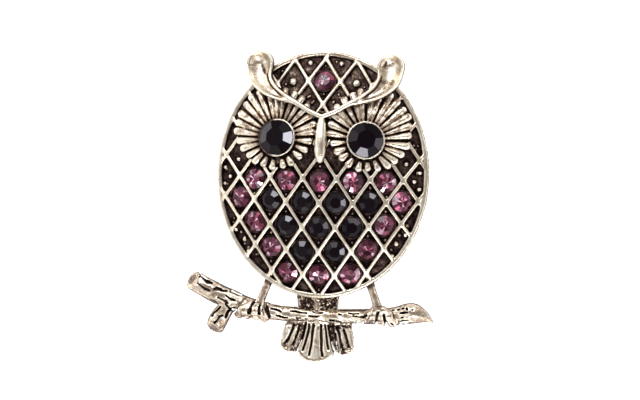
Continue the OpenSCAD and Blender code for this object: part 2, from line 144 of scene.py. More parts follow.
# Slits in the bark and between toes, each a path of x, y and half width
SLITS = [
    [(-19.1, -16.6, 0.1), (-18.8, -16.3, 0.15), (-18.3, -16.8, 0.2), (-17.7, -17.3, 0.25),
     (-17.1, -17.4, 0.2)],
    [(-19.2, -17.6, 0.1), (-18.6, -18, 0.1), (-18, -18.4, 0.2), (-17.4, -18.6, 0.2)],
    [(-16.6, -18.4, 0.2), (-16.2, -18.3, 0.3), (-15.7, -18.4, 0.2), (-15.3, -18.6, 0.15),
     (-14.6, -18.6, 0.1)],
    [(-14, -18.6, 0.2), (-13.4, -18.9, 0.1), (-12.9, -19.1, 0.15), (-12.4, -19.2, 0.1)],
    [(-14.7, -19.3, 0.1), (-14.2, -19.7, 0.1), (-13.7, -19.9, 0.2), (-13.3, -20, 0.15)],
    [(-16, -19.6, 0.1), (-15.4, -19.9, 0.1), (-14.7, -20.2, 0.2), (-14.5, -20.4, 0.2)],
    [(-14.7, -20.2, 0.2), (-14.7, -20.7, 0.15), (-14.2, -21.2, 0.15), (-13.9, -21.4, 0.2)],
    [(-15.6, -21.1, 0.15), (-16.1, -21.7, 0.15), (-16.6, -22.1, 0.1), (-16.8, -22.5, 0.2)],
    [(-15.2, -22.4, 0.15), (-15.6, -22.6, 0.2), (-15.9, -23.1, 0.1), (-16.4, -23.6, 0.2)],
    [(-14, -21.4, 0.2), (-14.4, -21.8, 0.2), (-14.6, -22.3, 0.2), (-14.7, -22.7, 0.15)],
    [(-13.7, -21.4, 0.25), (-13.4, -21.2, 0.2), (-13.1, -21.4, 0.25), (-13.3, -21.8, 0.15)],
    [(-19.3, -15.8, 0.1), (-19, -16.2, 0.1)],
    [(-9.9, -19.9, 0.2), (-10.4, -20.4, 0.2), (-10.6, -20.9, 0.1), (-10.8, -21.5, 0.35),
     (-10.9, -21.8, 0.3)],
    [(-9.2, -20.4, 0.1), (-9.3, -21, 0.2), (-9.3, -21.9, 0.25)],
    [(-8.4, -20.4, 0.1), (-8.2, -21.1, 0.2), (-8, -21.7, 0.15), (-7.8, -22.4, 0.15)],
    [(-7.6, -21.1, 0.1), (-6.9, -21.2, 0.15), (-6.3, -21.4, 0.15), (-6, -21.6, 0.1)],
    [(-6.8, -22.1, 0.1), (-6.3, -22.2, 0.15), (-5.7, -22.4, 0.15), (-5, -22.4, 0.1)],
    [(-4.5, -21.4, 0.1), (-3.8, -21.4, 0.15), (-2.9, -21.6, 0.1), (-2, -21.6, 0.1)],
    [(-1, -21.4, 0.1), (-0.4, -21.5, 0.1), (0.1, -21.5, 0.15), (0.5, -21.5, 0.1)],
    [(-1.7, -22, 0.1), (-1.1, -22.1, 0.15), (-0.5, -22.1, 0.15), (-0.1, -22, 0.1)],
    [(-0.8, -22.8, 0.1), (-0.2, -22.8, 0.2), (0.4, -22.9, 0.1)],
    [(1.6, -22.6, 0.15), (2.3, -22.6, 0.15), (3.3, -22.8, 0.1)],
    [(-3.7, -22.4, 0.1), (-3, -22.4, 0.1)],
    [(-3.5, -22.6, 0.1), (-3.4, -22.7, 0.1)],
    [(-2.2, -22.5, 0.1), (-1.9, -22.8, 0.1)],
    [(3, -21.6, 0.1), (3.4, -21.7, 0.1)],
    [(4.6, -21.4, 0.1), (5.4, -21.5, 0.1), (6.1, -21.4, 0.1)],
    [(5.3, -21.8, 0.1), (6, -21.9, 0.1), (6.8, -21.9, 0.15), (7.5, -21.6, 0.15)],
    [(5.8, -22.7, 0.15), (6, -23, 0.15), (6.5, -23, 0.15), (6.9, -22.6, 0.15)],
    [(9.3, -21, 0.15), (9.1, -21.7, 0.2), (9, -22.4, 0.15), (8.8, -23, 0.2)],
    [(10.2, -21.4, 0.15), (10.3, -22, 0.2), (10.5, -23, 0.2)],
    [(11.3, -22.7, 0.1), (12, -23.2, 0.1)],
    [(12.4, -22.3, 0.1), (12.7, -22.9, 0.2)],
    [(13, -22.4, 0.3), (13.5, -22.4, 0.3), (13.8, -22.2, 0.1)],
    [(12.6, -21.1, 0.1), (13.2, -21, 0.2), (13.8, -20.9, 0.1)],
    [(13.6, -20.3, 0.15), (13.7, -20.5, 0.15)],
    [(12.2, -20.6, 0.1), (12.5, -20.5, 0.1)],
    [(12.9, -20.4, 0.1), (13.2, -20.3, 0.1)],
    [(11.4, -20.7, 0.1), (11.6, -20.6, 0.1)],
    [(14.5, -20.5, 0.1), (14.6, -20.5, 0.1)],
    [(12.8, -21.8, 0.1), (13.1, -21.7, 0.1)],
]
# Stained patches of branch and feet, and one painted shadow band beside the left foot: how dark, and the
# path along the middle
STAINS_AND_SHADOW = [
    (0.65, [(-9.9, -20.1, 0.1), (-9, -20.2, 0.1)]),
    (0.65, [(8.8, -20.2, 0.1), (9.7, -20.1, 0.1)]),
    (0.3, [(-20.4, -17.1, 0.6), (-19.6, -17.1, 0.6)]),
    (0.4, [(-20.2, -17.7, 0.25), (-20, -18, 0.15)]),
    (0.3, [(-18.8, -17.6, 0.15), (-17.8, -18.1, 0.25), (-16.9, -18.7, 0.4), (-15.9, -19.3, 0.3),
        (-14.7, -19.4, 0.3)]),
    (0.2, [(-18.8, -18.2, 0.25), (-17.8, -18.8, 0.25)]),
    (0.25, [(-15.2, -20.9, 0.25), (-15.2, -21.5, 0.4), (-15.8, -22.3, 0.4)]),
    (0.3, [(-17.2, -23.4, 0.3), (-16.4, -23.8, 0.45), (-15.5, -23.5, 0.45)]),
    (0.5, [(-15.6, -24.4, 0.25), (-15.1, -24, 0.15)]),
    # Painted shadow band beside the left foot
    (0.6, [(-11.7, -19.6, 0.15), (-12.2, -20.1, 0.2), (-12.7, -20.7, 0.15)]),
    (0.2, [(-11.8, -21.2, 0.45), (-11.4, -21.2, 0.3)]),
    (0.2, [(-10.1, -21, 0.3), (-10.1, -21.5, 0.3)]),
    (0.7, [(-8.8, -21.2, 0.1), (-8.6, -22.1, 0.1)]),
    (0.25, [(-6, -21.5, 0.25), (-5, -21.8, 0.3), (-4.3, -22.1, 0.2)]),
    (0.2, [(-3.5, -22.1, 0.2), (-2.4, -22.1, 0.15)]),
    (0.15, [(0.4, -22.3, 0.2), (1.7, -22.3, 0.15)]),
    (0.2, [(3.7, -22.1, 0.4), (5.1, -22.3, 0.4)]),
    (0.2, [(13.3, -20.7, 0.3), (14.4, -21, 0.4), (15.1, -21.4, 0.4)]),
    (0.3, [(14.5, -21.5, 0.15), (15.4, -21.3, 0.15)]),
    (0.35, [(8.2, -21, 0.25), (8.4, -20.7, 0.25), (9.5, -20.2, 0.3)]),
    (0.6, [(7.4, -22.8, 0.1), (7.7, -22.2, 0.1), (8, -21.7, 0.1)]),
    (0.25, [(11, -20.5, 0.3), (11.6, -20.6, 0.15)]),
    (0.9, [(-8.5, -19.6, 0.15), (-7.9, -19.9, 0.15), (-6.9, -20.3, 0.1), (-5.7, -20.6, 0.1),
        (-4.4, -20.8, 0.1), (-3.3, -20.9, 0.1)]),
    (0.9, [(3.2, -21, 0.1), (5, -21, 0.1), (6.8, -20.9, 0.1), (7.8, -20.6, 0.1)]),
    (0.8, [(-17.2, -20, 0.1), (-16.4, -20.3, 0.15), (-16.1, -20.7, 0.1), (-16.4, -21.3, 0.1),
        (-16.9, -21.9, 0.1)]),
]
# Grooves between the ridges of the feathers, each a path of x, y and half width
GROOVES = [
    [(-4.1, -23.5, 0.15), (-4.3, -24.2, 0.15), (-4.7, -25.2, 0.1), (-5.1, -26, 0.1),
     (-5.4, -26.4, 0.1)],
    [(-3.2, -23.5, 0.1), (-3.4, -24.4, 0.1), (-3.7, -25.3, 0.1), (-3.9, -25.9, 0.1),
     (-4.2, -26.6, 0.1)],
    [(-2.2, -23.2, 0.15), (-2.4, -24.2, 0.15), (-2.6, -25.1, 0.15), (-2.9, -26, 0.15), (-3.3, -27, 0.1),
     (-3.5, -27.4, 0.15)],
    [(-1.7, -23.3, 0.1), (-1.7, -24.1, 0.15), (-2, -25.4, 0.1), (-2.3, -26.5, 0.1), (-2.6, -27.4, 0.1)],
    [(-1, -23.3, 0.15), (-1.1, -24.3, 0.15), (-1.2, -25.5, 0.1), (-1.3, -26.6, 0.1), (-1.5, -27.6, 0.1),
     (-1.6, -28.2, 0.1)],
    [(0.2, -23.4, 0.1), (0.2, -24.6, 0.15), (0.3, -25.9, 0.15), (0.3, -27.2, 0.1), (0.5, -28.2, 0.15)],
    [(0.8, -23.4, 0.1), (1, -24.2, 0.1), (1.1, -25.3, 0.1), (1.2, -26.2, 0.1), (1.4, -27.1, 0.1)],
    [(1.3, -23.4, 0.1), (1.5, -24.4, 0.15), (1.8, -25.6, 0.15), (1.9, -26.5, 0.1), (2.2, -27.2, 0.15)],
    [(2.4, -24.6, 0.1), (2.5, -25.4, 0.1), (2.6, -26.3, 0.15), (2.8, -27.1, 0.1)],
    [(2.6, -23.7, 0.15), (3, -24.6, 0.15), (3.2, -25.7, 0.1), (3.5, -26.6, 0.1), (3.7, -27.1, 0.1)],
    [(3.7, -24, 0.15), (4, -24.9, 0.15), (4.3, -25.8, 0.1), (4.6, -26.7, 0.1)],
]
# Stained patches of the tail in the same way
TAIL_STAINS = [
    (0.6, [(-2.8, -23.6, 0.45), (-3, -24.8, 0.4), (-3.3, -25.9, 0.25)]),
    (0.9, [(1.9, -23.7, 0.45), (2, -24.6, 0.3), (2.1, -25.7, 0.15)]),
    (0.6, [(-5.1, -23.2, 0.25), (-3.7, -23.4, 0.3), (-2.4, -23.4, 0.3)]),
    (0.9, [(1.3, -23.5, 0.15), (3.2, -23.6, 0.3), (4.7, -23.5, 0.2)]),
    (0.5, [(2.5, -25.4, 0.2), (2.7, -26.8, 0.15)]),
    (0.3, [(-4.5, -26.2, 0.1), (-4.7, -27, 0.1)]),
    (0.3, [(-0.6, -25.7, 0.2), (-0.5, -26.1, 0.2)]),
    (0.35, [(-0.7, -26.8, 0.1), (-0.2, -27, 0.1)]),
    (0.4, [(-0.2, -23.8, 0.15), (-0.2, -24.1, 0.15)]),
    (0.3, [(4.8, -24.1, 0.1), (5, -25.8, 0.1)]),
    (0.45, [(-3.3, -27.4, 0.1), (-2.6, -28.2, 0.1), (-1.8, -28.8, 0.1), (-0.6, -28.9, 0.1),
        (0.5, -28.6, 0.1), (1.3, -28.2, 0.1)]),
    (0.35, [(-6, -26.9, 0.1), (-5.6, -27.3, 0.1), (-5, -27.4, 0.1)]),
    (0.4, [(4.2, -27.4, 0.1), (4.8, -27.2, 0.1)]),
]
# Stained patches, and painted dark reflections and shade, in the hollows of the ears, in the same way
EAR_STAINS_AND_SHADE = [
    (0.6, [(9.5, 17.6, 0.2), (8.8, 16.1, 0.3), (8.2, 14.7, 0.3), (7, 13.1, 0.3), (6, 12, 0.1)]),
    (0.45, [(8.7, 14.3, 0.5), (10.6, 14.5, 0.4)]),
    (0.4, [(7.9, 13.4, 0.5), (9.3, 13.8, 0.4)]),
    (0.35, [(10, 17.3, 0.2), (11.2, 17.8, 0.2)]),
    (0.32, [(-11.8, 17.9, 0.4), (-11.4, 16.8, 0.5), (-11, 15.9, 0.3)]),
    (0.6, [(-10, 17.1, 0.2), (-9.6, 16, 0.3), (-8.7, 15, 0.3), (-7.9, 13.6, 0.2)]),
    (0.3, [(-11.1, 18.3, 0.2), (-9.9, 18.6, 0.2)]),
]
# Small lumps in the cells near the edge: x, y and radius
CRUMBS = [
    (-6.1, 13.8, 0.2), (1.6, 17.5, 0.2), (6.2, 13.7, 0.15), (-2.4, 11.9, 0.2), (-2.1, 12.1, 0.2),
    (-2.9, 11.6, 0.15), (-1.8, 11, 0.2), (-1.5, 11.3, 0.2), (-0.2, 11.8, 0.15), (1.6, 11.2, 0.25),
    (2.3, 12.4, 0.2), (2.6, 11.9, 0.2), (-6.8, 16.7, 0.15), (-6.8, 15.9, 0.2), (-6.2, 16.1, 0.2),
    (-15, 0.4, 0.2), (-14.8, -1.9, 0.15), (-13.6, -7.2, 0.2), (-13.7, -7.8, 0.15), (-12.4, -9.3, 0.2),
    (-11.8, -10.2, 0.25), (-11.8, -11.1, 0.2), (-11.2, -11.7, 0.25), (-9.9, -12.7, 0.15),
    (-9.6, -12.6, 0.15), (14.8, 0.7, 0.25), (15, -1.9, 0.25), (13.5, -7.5, 0.25), (12.3, -9, 0.25),
    (11.8, -10.2, 0.25), (11.1, -11.3, 0.2), (14.4, 4.3, 0.2), (14.7, 4.9, 0.15), (14.1, 4.9, 0.15),
]

FAR = 4.0
# Grid steps of the body and of the finer pieces
BODY_STEP = 0.125
FINE_STEP = 0.1
# Corners of the boxes that hold the grids; the face's heights count from the rib tops, as the body's do
BODY_BOX = (-17.1, -19.8, -3.3), (17.1, 19.8, 0.75)
EAR_BOX = (-13.4, 8.0, 3.4), (13.4, 19.9, 9.4)
BRANCH_BOX = (-22.3, -26.6, -0.3), (18.3, -13.4, 4.7)
TAIL_BOX = (-7.2, -30.1, -0.3), (6.6, -16.6, 3.4)
FACE_Z = (-1.2, 1.75)
MARGIN = 0.5
# Ribs: half width at the top, how much wider they get below it, and how deep they, the cups and the
# pips stand in the dome's floor
RIB_HALF = 0.42 * RIB_W
RIB_SLOPE = 0.25
ROOT = RIB_H + 0.3
# Pits for the stones: slope of the seat, gap below the girdle and height
PIT_SLOPE = 0.42
PIT_GAP = 0.15
PIT_H = 2
# How much deeper the smallest pips sit, the wire of the loop, and the swell of crumbs
PIP_SINK = 0.4
LOOP_R = 0.12
CRUMB_SWELL = 1.15
# Distance from a slit or groove to the crest of its raised lip
LIP_OFF = 0.17
# How round the ribs' and the rim's edges are, how wavy the rim is, and where the skin below the rays lies
RIB_ROUND = 0.2
RIM_ROUND = 0.3
RIM_WAVE = 0.06
SKIN_DOWN = 0.42
# Rays: gap at the bezel, half width at the foot, and what both gain on rays that point down
RAY_GAP = 0.15
RAY_GAP_DOWN = 0.5
RAY_FOOT = 0.27
RAY_FOOT_DOWN = 0.15
NICK_R = 0.26
# Ears: height of the bead along the edge, how far the front lies below it, and depth of scoop and groove
EAR_BEAD = 0.3
EAR_SINK = 0.22
EAR_SCOOP = 0.75
EAR_GROOVE = 0.2
# Bark waves, and how far the sawn ends of branch and twig face up, in radians
BARK_WAVE = 0.07
BRANCH_LEAN = 0.6
TWIG_LEAN = 0.5
# Radius of a leg at the hip, halfway and at the ankle as shares, and fillet and swell of leg and toes
LEG_SHARES = (1.5, 0.9, 1.15)
LEG_FILLET = 0.25
TOE_SWELL = 1.22
# Toes: height of ankle, knuckle and tip over the branch's middle, and how far down y the last two lie
ANKLE_UP = BRANCH_R + 0.25
KNUCKLE_UP = BRANCH_R + 0.3
TIP_UP = 0.7
KNUCKLE_DROP = 1.1
TIP_DROP = 1.9
# Tail: top and thickness of the stem, its middle rib, how far the web reaches down and how thick it is
STEM_TOP = 1.2 - B
STEM_T = 1.9
STEM_RIDGE = 0.5
WEB_REACH = 0.6 * TAIL_L
WEB_T = 0.55 * TAIL_T
# Patina: how dark the floor of the dome, slits, sawn ends and the feathers' grooves are, and how dark the
# painted shade on the legs' tops under the rim is
FLOOR_DARK = 0.8
SLIT_DARK = 0.84
END_DARK = 0.55
HIP_SHADE = 0.65
GROOVE_DARK = 0.78


def smooth_min(p, q, blend):
    """The lower of two distances, with a fillet of about that size where they meet"""
    h = np.clip(0.5 + 0.5 * (q - p) / blend, 0, 1)
    return q + (p - q) * h - blend * h * (1 - h)


def smooth_max(p, q, blend):
    """The higher of two distances in the same way"""
    return -smooth_min(-p, -q, blend)


def smooth_step(x, low, high):
    """From 0 at low to 1 at high, level at both"""
    t = np.clip((x - low) / (high - low), 0, 1)
    return t * t * (3 - 2 * t)


def hill(x, middle, width):
    """1 at the middle, falling to 0 over about twice the width on either side"""
    return np.exp(-(((x - middle) / width) ** 2))


def unit(rows):
    """Rows brought to length 1"""
    return rows / np.maximum(np.linalg.norm(rows, axis=1), 1e-6)[:, None]


def rounded(p, q, radius):
    """Distance to the shape inside both p and q, with its edge rounded to radius"""
    p, q = p + radius, q + radius
    return np.hypot(np.maximum(p, 0), np.maximum(q, 0)) + np.minimum(np.maximum(p, q), 0) - radius


def between(grid, base, shares):
    """Values between the eight grid points from base on, at those shares of the way; the grid repeats"""
    total = 0
    for corner in np.ndindex(2, 2, 2):
        weight = math.prod(s if c else 1 - s for s, c in zip(shares, corner))
        at = tuple((b + c) % n for b, c, n in zip(base, corner, grid.shape))
        total = total + weight * grid[at]
    return total


class Noise:
    """Smooth random values from -1 to 1, the same in each run"""

    CELLS = 64

    def __init__(self, seed):
        rng = np.random.default_rng(seed)
        self.table = rng.uniform(-1, 1, (self.CELLS,) * 3).astype(np.float32)

    def __call__(self, x, y, z=0.0):
        places = np.broadcast_arrays(x, y, z)
        cells = [np.floor(c).astype(np.int32) for c in places]
        shares = [(c - k).astype(np.float32) for c, k in zip(places, cells)]
        return between(self.table, cells, [s * s * (3 - 2 * s) for s in shares])


def dome_top(x, y):
    """Height of the rib tops above the surface"""
    return RIM_TOP + DOME_RISE * (1 - (x / A) ** 2 - (y / B) ** 2)


def oval_distance(x, y):
    """Distance outwards from the body's oval edge, close to true near the edge"""
    reach = np.sqrt((x / A) ** 2 + (y / B) ** 2)
    slope = np.sqrt((x / A**2) ** 2 + (y / B**2) ** 2)
    return reach * (reach - 1) / np.maximum(slope, 1e-6)


def cell(i, j):
    """Place of a lattice column and row on the dome"""
    x = y = 0.0
    for _ in range(3):
        u, v = (x / A) ** 2, (y / B) ** 2
        x, y = (
            i * HALF_W * (1 - SHRINK_W[0] * u - SHRINK_W[1] * v),
            (j + ROW_SHIFT) * HALF_H * (1 - SHRINK_H[0] * u - SHRINK_H[1] * v),
        )
    return np.array([x, y])


def upright_axes(x, y):
    """Across, up and outward unit vectors of a stone that sits on the dome at x, y, as rows"""
    out = Vector((2 * DOME_RISE * x / A**2, 2 * DOME_RISE * y / B**2, 1))
    return np.array(Vector((0, 0, 1)).rotation_difference(out).to_matrix()).T


def smooth_path(sections, count):
    """count + 1 rows along a smooth curve through the rows of a table"""
    rows = np.array(sections, float)
    padded = np.vstack([2 * rows[0] - rows[1], rows, 2 * rows[-1] - rows[-2]])
    made = []
    for s in np.linspace(0, len(rows) - 1, count + 1):
        k = min(int(s), len(rows) - 2)
        t = s - k
        p, q, r, w = padded[k : k + 4]
        curve = (2 * p - 5 * q + 4 * r - w) * t**2 + (3 * (q - r) + w - p) * t**3
        made.append(0.5 * (2 * q + (r - p) * t + curve))
    return np.array(made)


class Field:
    """Distances on a grid of points, negative inside the metal. A bent one counts height from the
    rib tops."""

    def __init__(self, low, high, step=FINE_STEP, bent=False):
        self.low = np.array(low, float)
        self.step = step
        self.bent = bent
        count = np.ceil((np.array(high) - self.low) / step).astype(int) + 1
        self.axes = [(self.low[k] + step * np.arange(count[k])).astype(np.float32) for k in range(3)]
        self.d = np.full(count, FAR, np.float32)

    def grid(self):
        return np.ix_(*self.axes)

    def window(self, middle, reach):
        """The slices and coordinates of the points within reach of middle in X and Y, or of all"""
        if middle is None:
            return ..., self.grid()
        cut = [slice(None)] * 3
        for k in range(2):
            first = int((middle[k] - reach - self.low[k]) / self.step)
            last = int((middle[k] + reach - self.low[k]) / self.step) + 2
            cut[k] = slice(max(first, 0), max(last, 0))
        return tuple(cut), np.ix_(*[axis[part] for axis, part in zip(self.axes, cut)])

    def add(self, shape, blend, middle=None, reach=0):
        """Joins a shape to the metal; shape gives distances for x, y and z"""
        cut, places = self.window(middle, reach)
        self.d[cut] = smooth_min(self.d[cut], shape(*places), blend)

    def cut(self, shape, blend, middle=None, reach=0):
        """Takes a shape away from the metal"""
        cut, places = self.window(middle, reach)
        self.d[cut] = smooth_max(self.d[cut], -shape(*places), blend)

    def carve(self, paths, depth, blend, lip):
        """Cuts grooves with raised lips along paths, to a depth below the surface as it was"""
        skin = self.d.copy()
        for path in paths:
            ends = np.array(path)
            middle = (ends.min(0) + ends.max(0))[:2] / 2
            reach = (ends.max(0) - ends.min(0))[:2].max() / 2 + ends[:, 2].max() + 0.6
            cut, (x, y, _) = self.window(middle, reach)
            gap = path_distance(x, y, path)
            raised = self.d[cut] - lip * hill(gap, LIP_OFF, 0.13)
            self.d[cut] = smooth_max(raised, np.minimum(-gap, skin[cut] + depth), blend)

    def roughen(self, change, depth):
        """Moves the surface outwards by change(x, y, z), which is at most depth"""
        near = np.nonzero(np.abs(self.d) < 2 * depth + self.step)
        self.d[near] -= change(*[axis[k] for axis, k in zip(self.axes, near)]).astype(np.float32)

    def sample(self, points):
        """Distances at points given in the field's own millimetres"""
        at = np.clip((points - self.low) / self.step, 0, np.array(self.d.shape) - 1.001)
        base = at.astype(int)
        return between(self.d, base.T, (at - base).T)

    def slope(self, points):
        """Direction in which the distance grows, in the field's own coordinates"""
        offsets = 0.75 * self.step * np.eye(3)
        parts = [self.sample(points + o) - self.sample(points - o) for o in offsets]
        return np.stack(parts, 1) / (1.5 * self.step)

    def straight(self, points, slopes):
        """Points and slopes as they are in space, where the bent field follows the dome"""
        if not self.bent:
            return points, slopes
        x, y = points[:, 0], points[:, 1]
        lean = np.stack([-2 * DOME_RISE * x / A**2, -2 * DOME_RISE * y / B**2, np.zeros(len(x))], 1)
        placed = points.copy()
        placed[:, 2] += dome_top(x, y)
        return placed, slopes - slopes[:, 2:] * lean

    def solid(self, name, adaptivity, patina_and_shade):
        """The metal's surface as a mesh, with a number at its points from the given function of points and
        normals: how dark its patina and painted shade are there
        """
        grid = openvdb.FloatGrid(FAR)
        grid.copyFromArray(self.d)
        points, triangles, quads = grid.convertToPolygons(0.0, adaptivity)
        points = points.astype(float) * self.step + self.low
        slopes = self.slope(points)
        steep = np.maximum((slopes**2).sum(1), 0.1)
        points = points - slopes * (np.clip(self.sample(points), -0.05, 0.05) / steep)[:, None]
        slopes = self.slope(points)
        dark = patina_and_shade(points, unit(slopes))
        placed, slopes = self.straight(points, slopes)
        mesh = bpy.data.meshes.new(name)
        faces = triangles.tolist() + quads.tolist()
        mesh.from_pydata(((placed + CENTRE) * MM).tolist(), [], faces)
        mesh.validate()
        mesh.shade_smooth()
        mesh.attributes.new("patina_and_shade", "FLOAT", "POINT").data.foreach_set("value", dark.astype(np.float32))
        mesh.normals_split_custom_set_from_vertices(unit(slopes).tolist())
        return put(name, mesh)

    def shelter(self, points, normals):
        """From 0 where the surface is open to 1 where metal close in front of it hides it; added to the
        darkness as patina in hollows and painted occlusion shade
        """
        hidden = 0
        for reach in (0.2, 0.4, 0.8):
            hidden = hidden + np.clip(1 - self.sample(points + normals * reach) / reach, 0, 1) / 3
        return hidden


def put(name, data):
    """A new object in the scene"""
    piece = bpy.data.objects.new(name, data)
    bpy.context.scene.collection.objects.link(piece)
    return piece


def steep_patina_and_shade(normals, most=0.75, low=0.1, high=0.5):
    """Up to most on the steep sides of raised forms: patina left there, and painted shade that darkens the
    sides into outlines
    """
    steep = 1 - smooth_step(normals[:, 2], low, high)
    return most * steep * smooth_step(normals[:, 2], -0.4, -0.05)


# Lattice

def from_rays(x, y):
    """Distance from the middle of the nearer circle of rays"""
    return np.hypot(abs(x) - RAY_CENTRE[0], y - RAY_CENTRE[1])


def rib_lines():
    """Pairs of lattice corners with a rib between them"""
    lines = []
    for i in range(-7, 7):
        for j in range(-5, 6):
            if (i + j) % 2 == 0:
                continue
            for step in (-1, 1):
                ends = cell(i, j), cell(i + 1, j + step)
                near = any(math.hypot(x / A, y / B) < 1 for x, y in ends)
                if near and not all(from_rays(*p) < RAY_REACH - RAY_W for p in ends):
                    lines.append(ends)
    return lines


def line_distance(x, y, p, q):
    """Distance in the plane to the line from p to q, and the share of the way along it"""
    way = q - p
    share = np.clip(((x - p[0]) * way[0] + (y - p[1]) * way[1]) / (way @ way), 0, 1)
    return np.hypot(x - p[0] - share * way[0], y - p[1] - share * way[1]), share


def path_distance(x, y, path):
    """Distance in the plane out of a path of x, y and half width"""
    nearest = FAR
    for p, q in zip(path, path[1:]):
        d, share = line_distance(x, y, np.array(p[:2]), np.array(q[:2]))
        nearest = np.minimum(nearest, d - p[2] - (q[2] - p[2]) * share)
    return nearest


def slit_shade(x, y, paths):
    """1 inside the paths and 0 a little outside them"""
    return np.max([1 - smooth_step(path_distance(x, y, path), -0.03, 0.07) for path in paths], axis=0)


def lip_shade(x, y, paths):
    """1 on the bright lips beside the paths and 0 away from them"""
    return np.max([hill(path_distance(x, y, path), LIP_OFF, 0.15) for path in paths], axis=0)


def stain_shade(x, y, stains):
    """How dark soft-edged stained patches are"""
    return np.max([s * (1 - smooth_step(path_distance(x, y, p), -0.12, 0.16)) for s, p in stains], axis=0)


def rib_distance(x, y):
    """Distance in the plane to the nearest rib's middle line, filleted where ribs cross"""
    nearest = np.full(np.broadcast(x, y).shape, FAR, np.float32)
    for p, q in rib_lines():
        nearest = smooth_min(nearest, line_distance(x, y, p, q)[0], 0.3)
    return nearest


def stones():
    """Name, place and letter of each lattice stone"""
    for name, row, first, letters in STONE_ROWS:
        for k, letter in enumerate(letters):
            colour = "purple" if letter == "p" else "black"
            yield f"{colour}_stone_{name}{k + 1}", cell(first + 2 * k, row), letter


def add_cup(field, place, d, wall, edge, sit):
    """Cup that stands round a stone, and the pit that the stone sits in, both upright on the dome"""
    axes = upright_axes(*place)
    base = (*place, dome_top(*place))
    inner = d / 2 + SEAT_GAP
    outer = inner + wall

    def turn(x, y, z):
        gaps = [c - o for c, o in zip((x, y, z + dome_top(x, y)), base)]
        u, v, w = [gaps[0] * axis[0] + gaps[1] * axis[1] + gaps[2] * axis[2] for axis in axes]
        return np.hypot(u, v), w

    def cup(x, y, z):
        r, w = turn(x, y, z)
        return np.maximum(rounded(r - outer, w - edge, 0.08), -w - ROOT)

    def pit(x, y, z):
        r, w = turn(x, y, z)
        seat = sit - w - PIT_SLOPE * (inner - r) - PIT_GAP
        return np.maximum(r - inner, np.maximum(seat, w - sit - PIT_H))

    field.add(cup, 0.1, place, outer + 0.6)
    field.cut(pit, 0.03, place, outer + 0.6)


def cell_beads():
    """Rows of x, y and radius of small beads above and below the stones, where a cell's corners are"""
    rng = np.random.default_rng(17)
    beads = []
    for _, place, _ in stones():
        for way, chance in ((1, 0.5), (-1, 0.8)):
            r, shown = rng.uniform(0.15, 0.24), rng.uniform() < chance
            if shown:
                beads.append((place[0], place[1] + way * rng.uniform(2.15, 2.35), r))
    return beads


def make_body():
    """Domed oval body with its rim, lattice, cups, pips and hollow back"""
    field = Field(*BODY_BOX, BODY_STEP, bent=True)
    x, y, t = field.grid()
    edge = oval_distance(x, y)
    inside = edge + RIM_W / 2
    z = t + dome_top(x, y)
    field.d = smooth_max(smooth_max(t + RIB_H, inside, 0.2), BACK_Z - z, 0.2).astype(np.float32)

    ribs = rounded(rib_distance(x, y) - RIB_HALF + RIB_SLOPE * t, t, RIB_ROUND)
    bare = RAY_REACH - 0.5 - from_rays(x, y)
    ribs = np.maximum(ribs, np.maximum(inside, np.maximum(bare, -t - ROOT)))
    field.d = smooth_min(field.d, ribs, 0.16)

    wave = RIM_WAVE * Noise(3)(x * 0.5, y * 0.5)
    across = np.abs(inside) - RIM_W / 2 - wave
    ring = rounded(across, z - RIM_TOP - RIM_LIFT, RIM_ROUND)
    ring = np.maximum(ring, rounded(edge, BACK_Z - z, 0.2))
    field.d = smooth_min(field.d, ring, 0.15)

    hollow = smooth_max(t + RIB_H + WALL, edge + BACK_RING_W, 0.4)
    field.d = smooth_max(field.d, -hollow, 0.15).astype(np.float32)

    for _, place, _ in stones():
        add_cup(field, place, STONE_D, CUP_WALL, CUP_SIT, STONE_SIT)
    pips = [(*(cell(i, j) * (side, 1)), PIP_R * share) for i, j, share in PIPS for side in (-1, 1)]
    for x0, y0, r in pips:
        high = -PIP_SINK * (1 - r / PIP_R) - r

        def pip(x, y, t):
            ball = np.sqrt((x - x0) ** 2 + (y - y0) ** 2 + np.maximum(t - high, 0) ** 2) - r
            return np.maximum(ball, -t - ROOT)

        field.add(pip, 0.12, (x0, y0), r + 0.5)

    def loop(x, y, t):
        ring = np.abs(np.hypot(x / LOOP[1], (y - LOOP[0]) / LOOP[2]) - 1) * LOOP[2] - LOOP_R
        return rounded(ring, t + 0.1, 0.1)

    field.add(loop, 0.08, (0, LOOP[0]), 1.2)

    crumbs = CRUMBS + cell_beads()
    for x0, y0, r in crumbs:

        def crumb(x, y, t):
            gap = np.sqrt((x - x0) ** 2 + (0.8 * (y - y0)) ** 2 + (0.7 * (t + RIB_H)) ** 2)
            return gap - CRUMB_SWELL * r

        field.add(crumb, 0.08, (x0, y0), r + 0.5)
    fine, coarse = Noise(5), Noise(6)

    def cast(x, y, t):
        low = smooth_step(-t, 0.25, 0.6)
        grain = 0.03 * fine(x * 2.2, y * 2.2, t * 2.2) + 0.02 * coarse(x * 5, y * 5, t * 5)
        return grain * (0.35 + 1.6 * low)

    field.roughen(cast, 0.1)

    def patina_and_shade(points, normals):
        x, y, t = points.T
        high = smooth_step(y, 6, 10)
        grain = 0.2 * fine(x * 1.3, y * 1.3) + 0.14 * fine(x * 3.5, y * 3.5)
        floor = (FLOOR_DARK - 0.14 * high + grain) * smooth_step(-t, 0.02, 0.17)
        front = t > -RIB_H - 0.5
        # Steep sides and places hidden by metal in front get patina and painted shade
        dark = np.maximum(floor * (oval_distance(x, y) < -RIM_W), steep_patina_and_shade(normals)) * front
        tops = 0.06 + 0.14 * high + 0.12 * coarse(x * 0.5, y * 0.5, 3)
        dark = np.maximum(dark, (t > -0.2) * tops) + 0.6 * field.shelter(points, normals)
        for x0, y0, r in pips + crumbs:
            least = 0.1 if r > 0.27 else 0.4
            dark = dark * (least + (1 - least) * smooth_step(np.hypot(x - x0, y - y0) / r, 0.85, 1.1))
        return dark

    return field.solid("cast_body", 0.004, patina_and_shade)


# Face

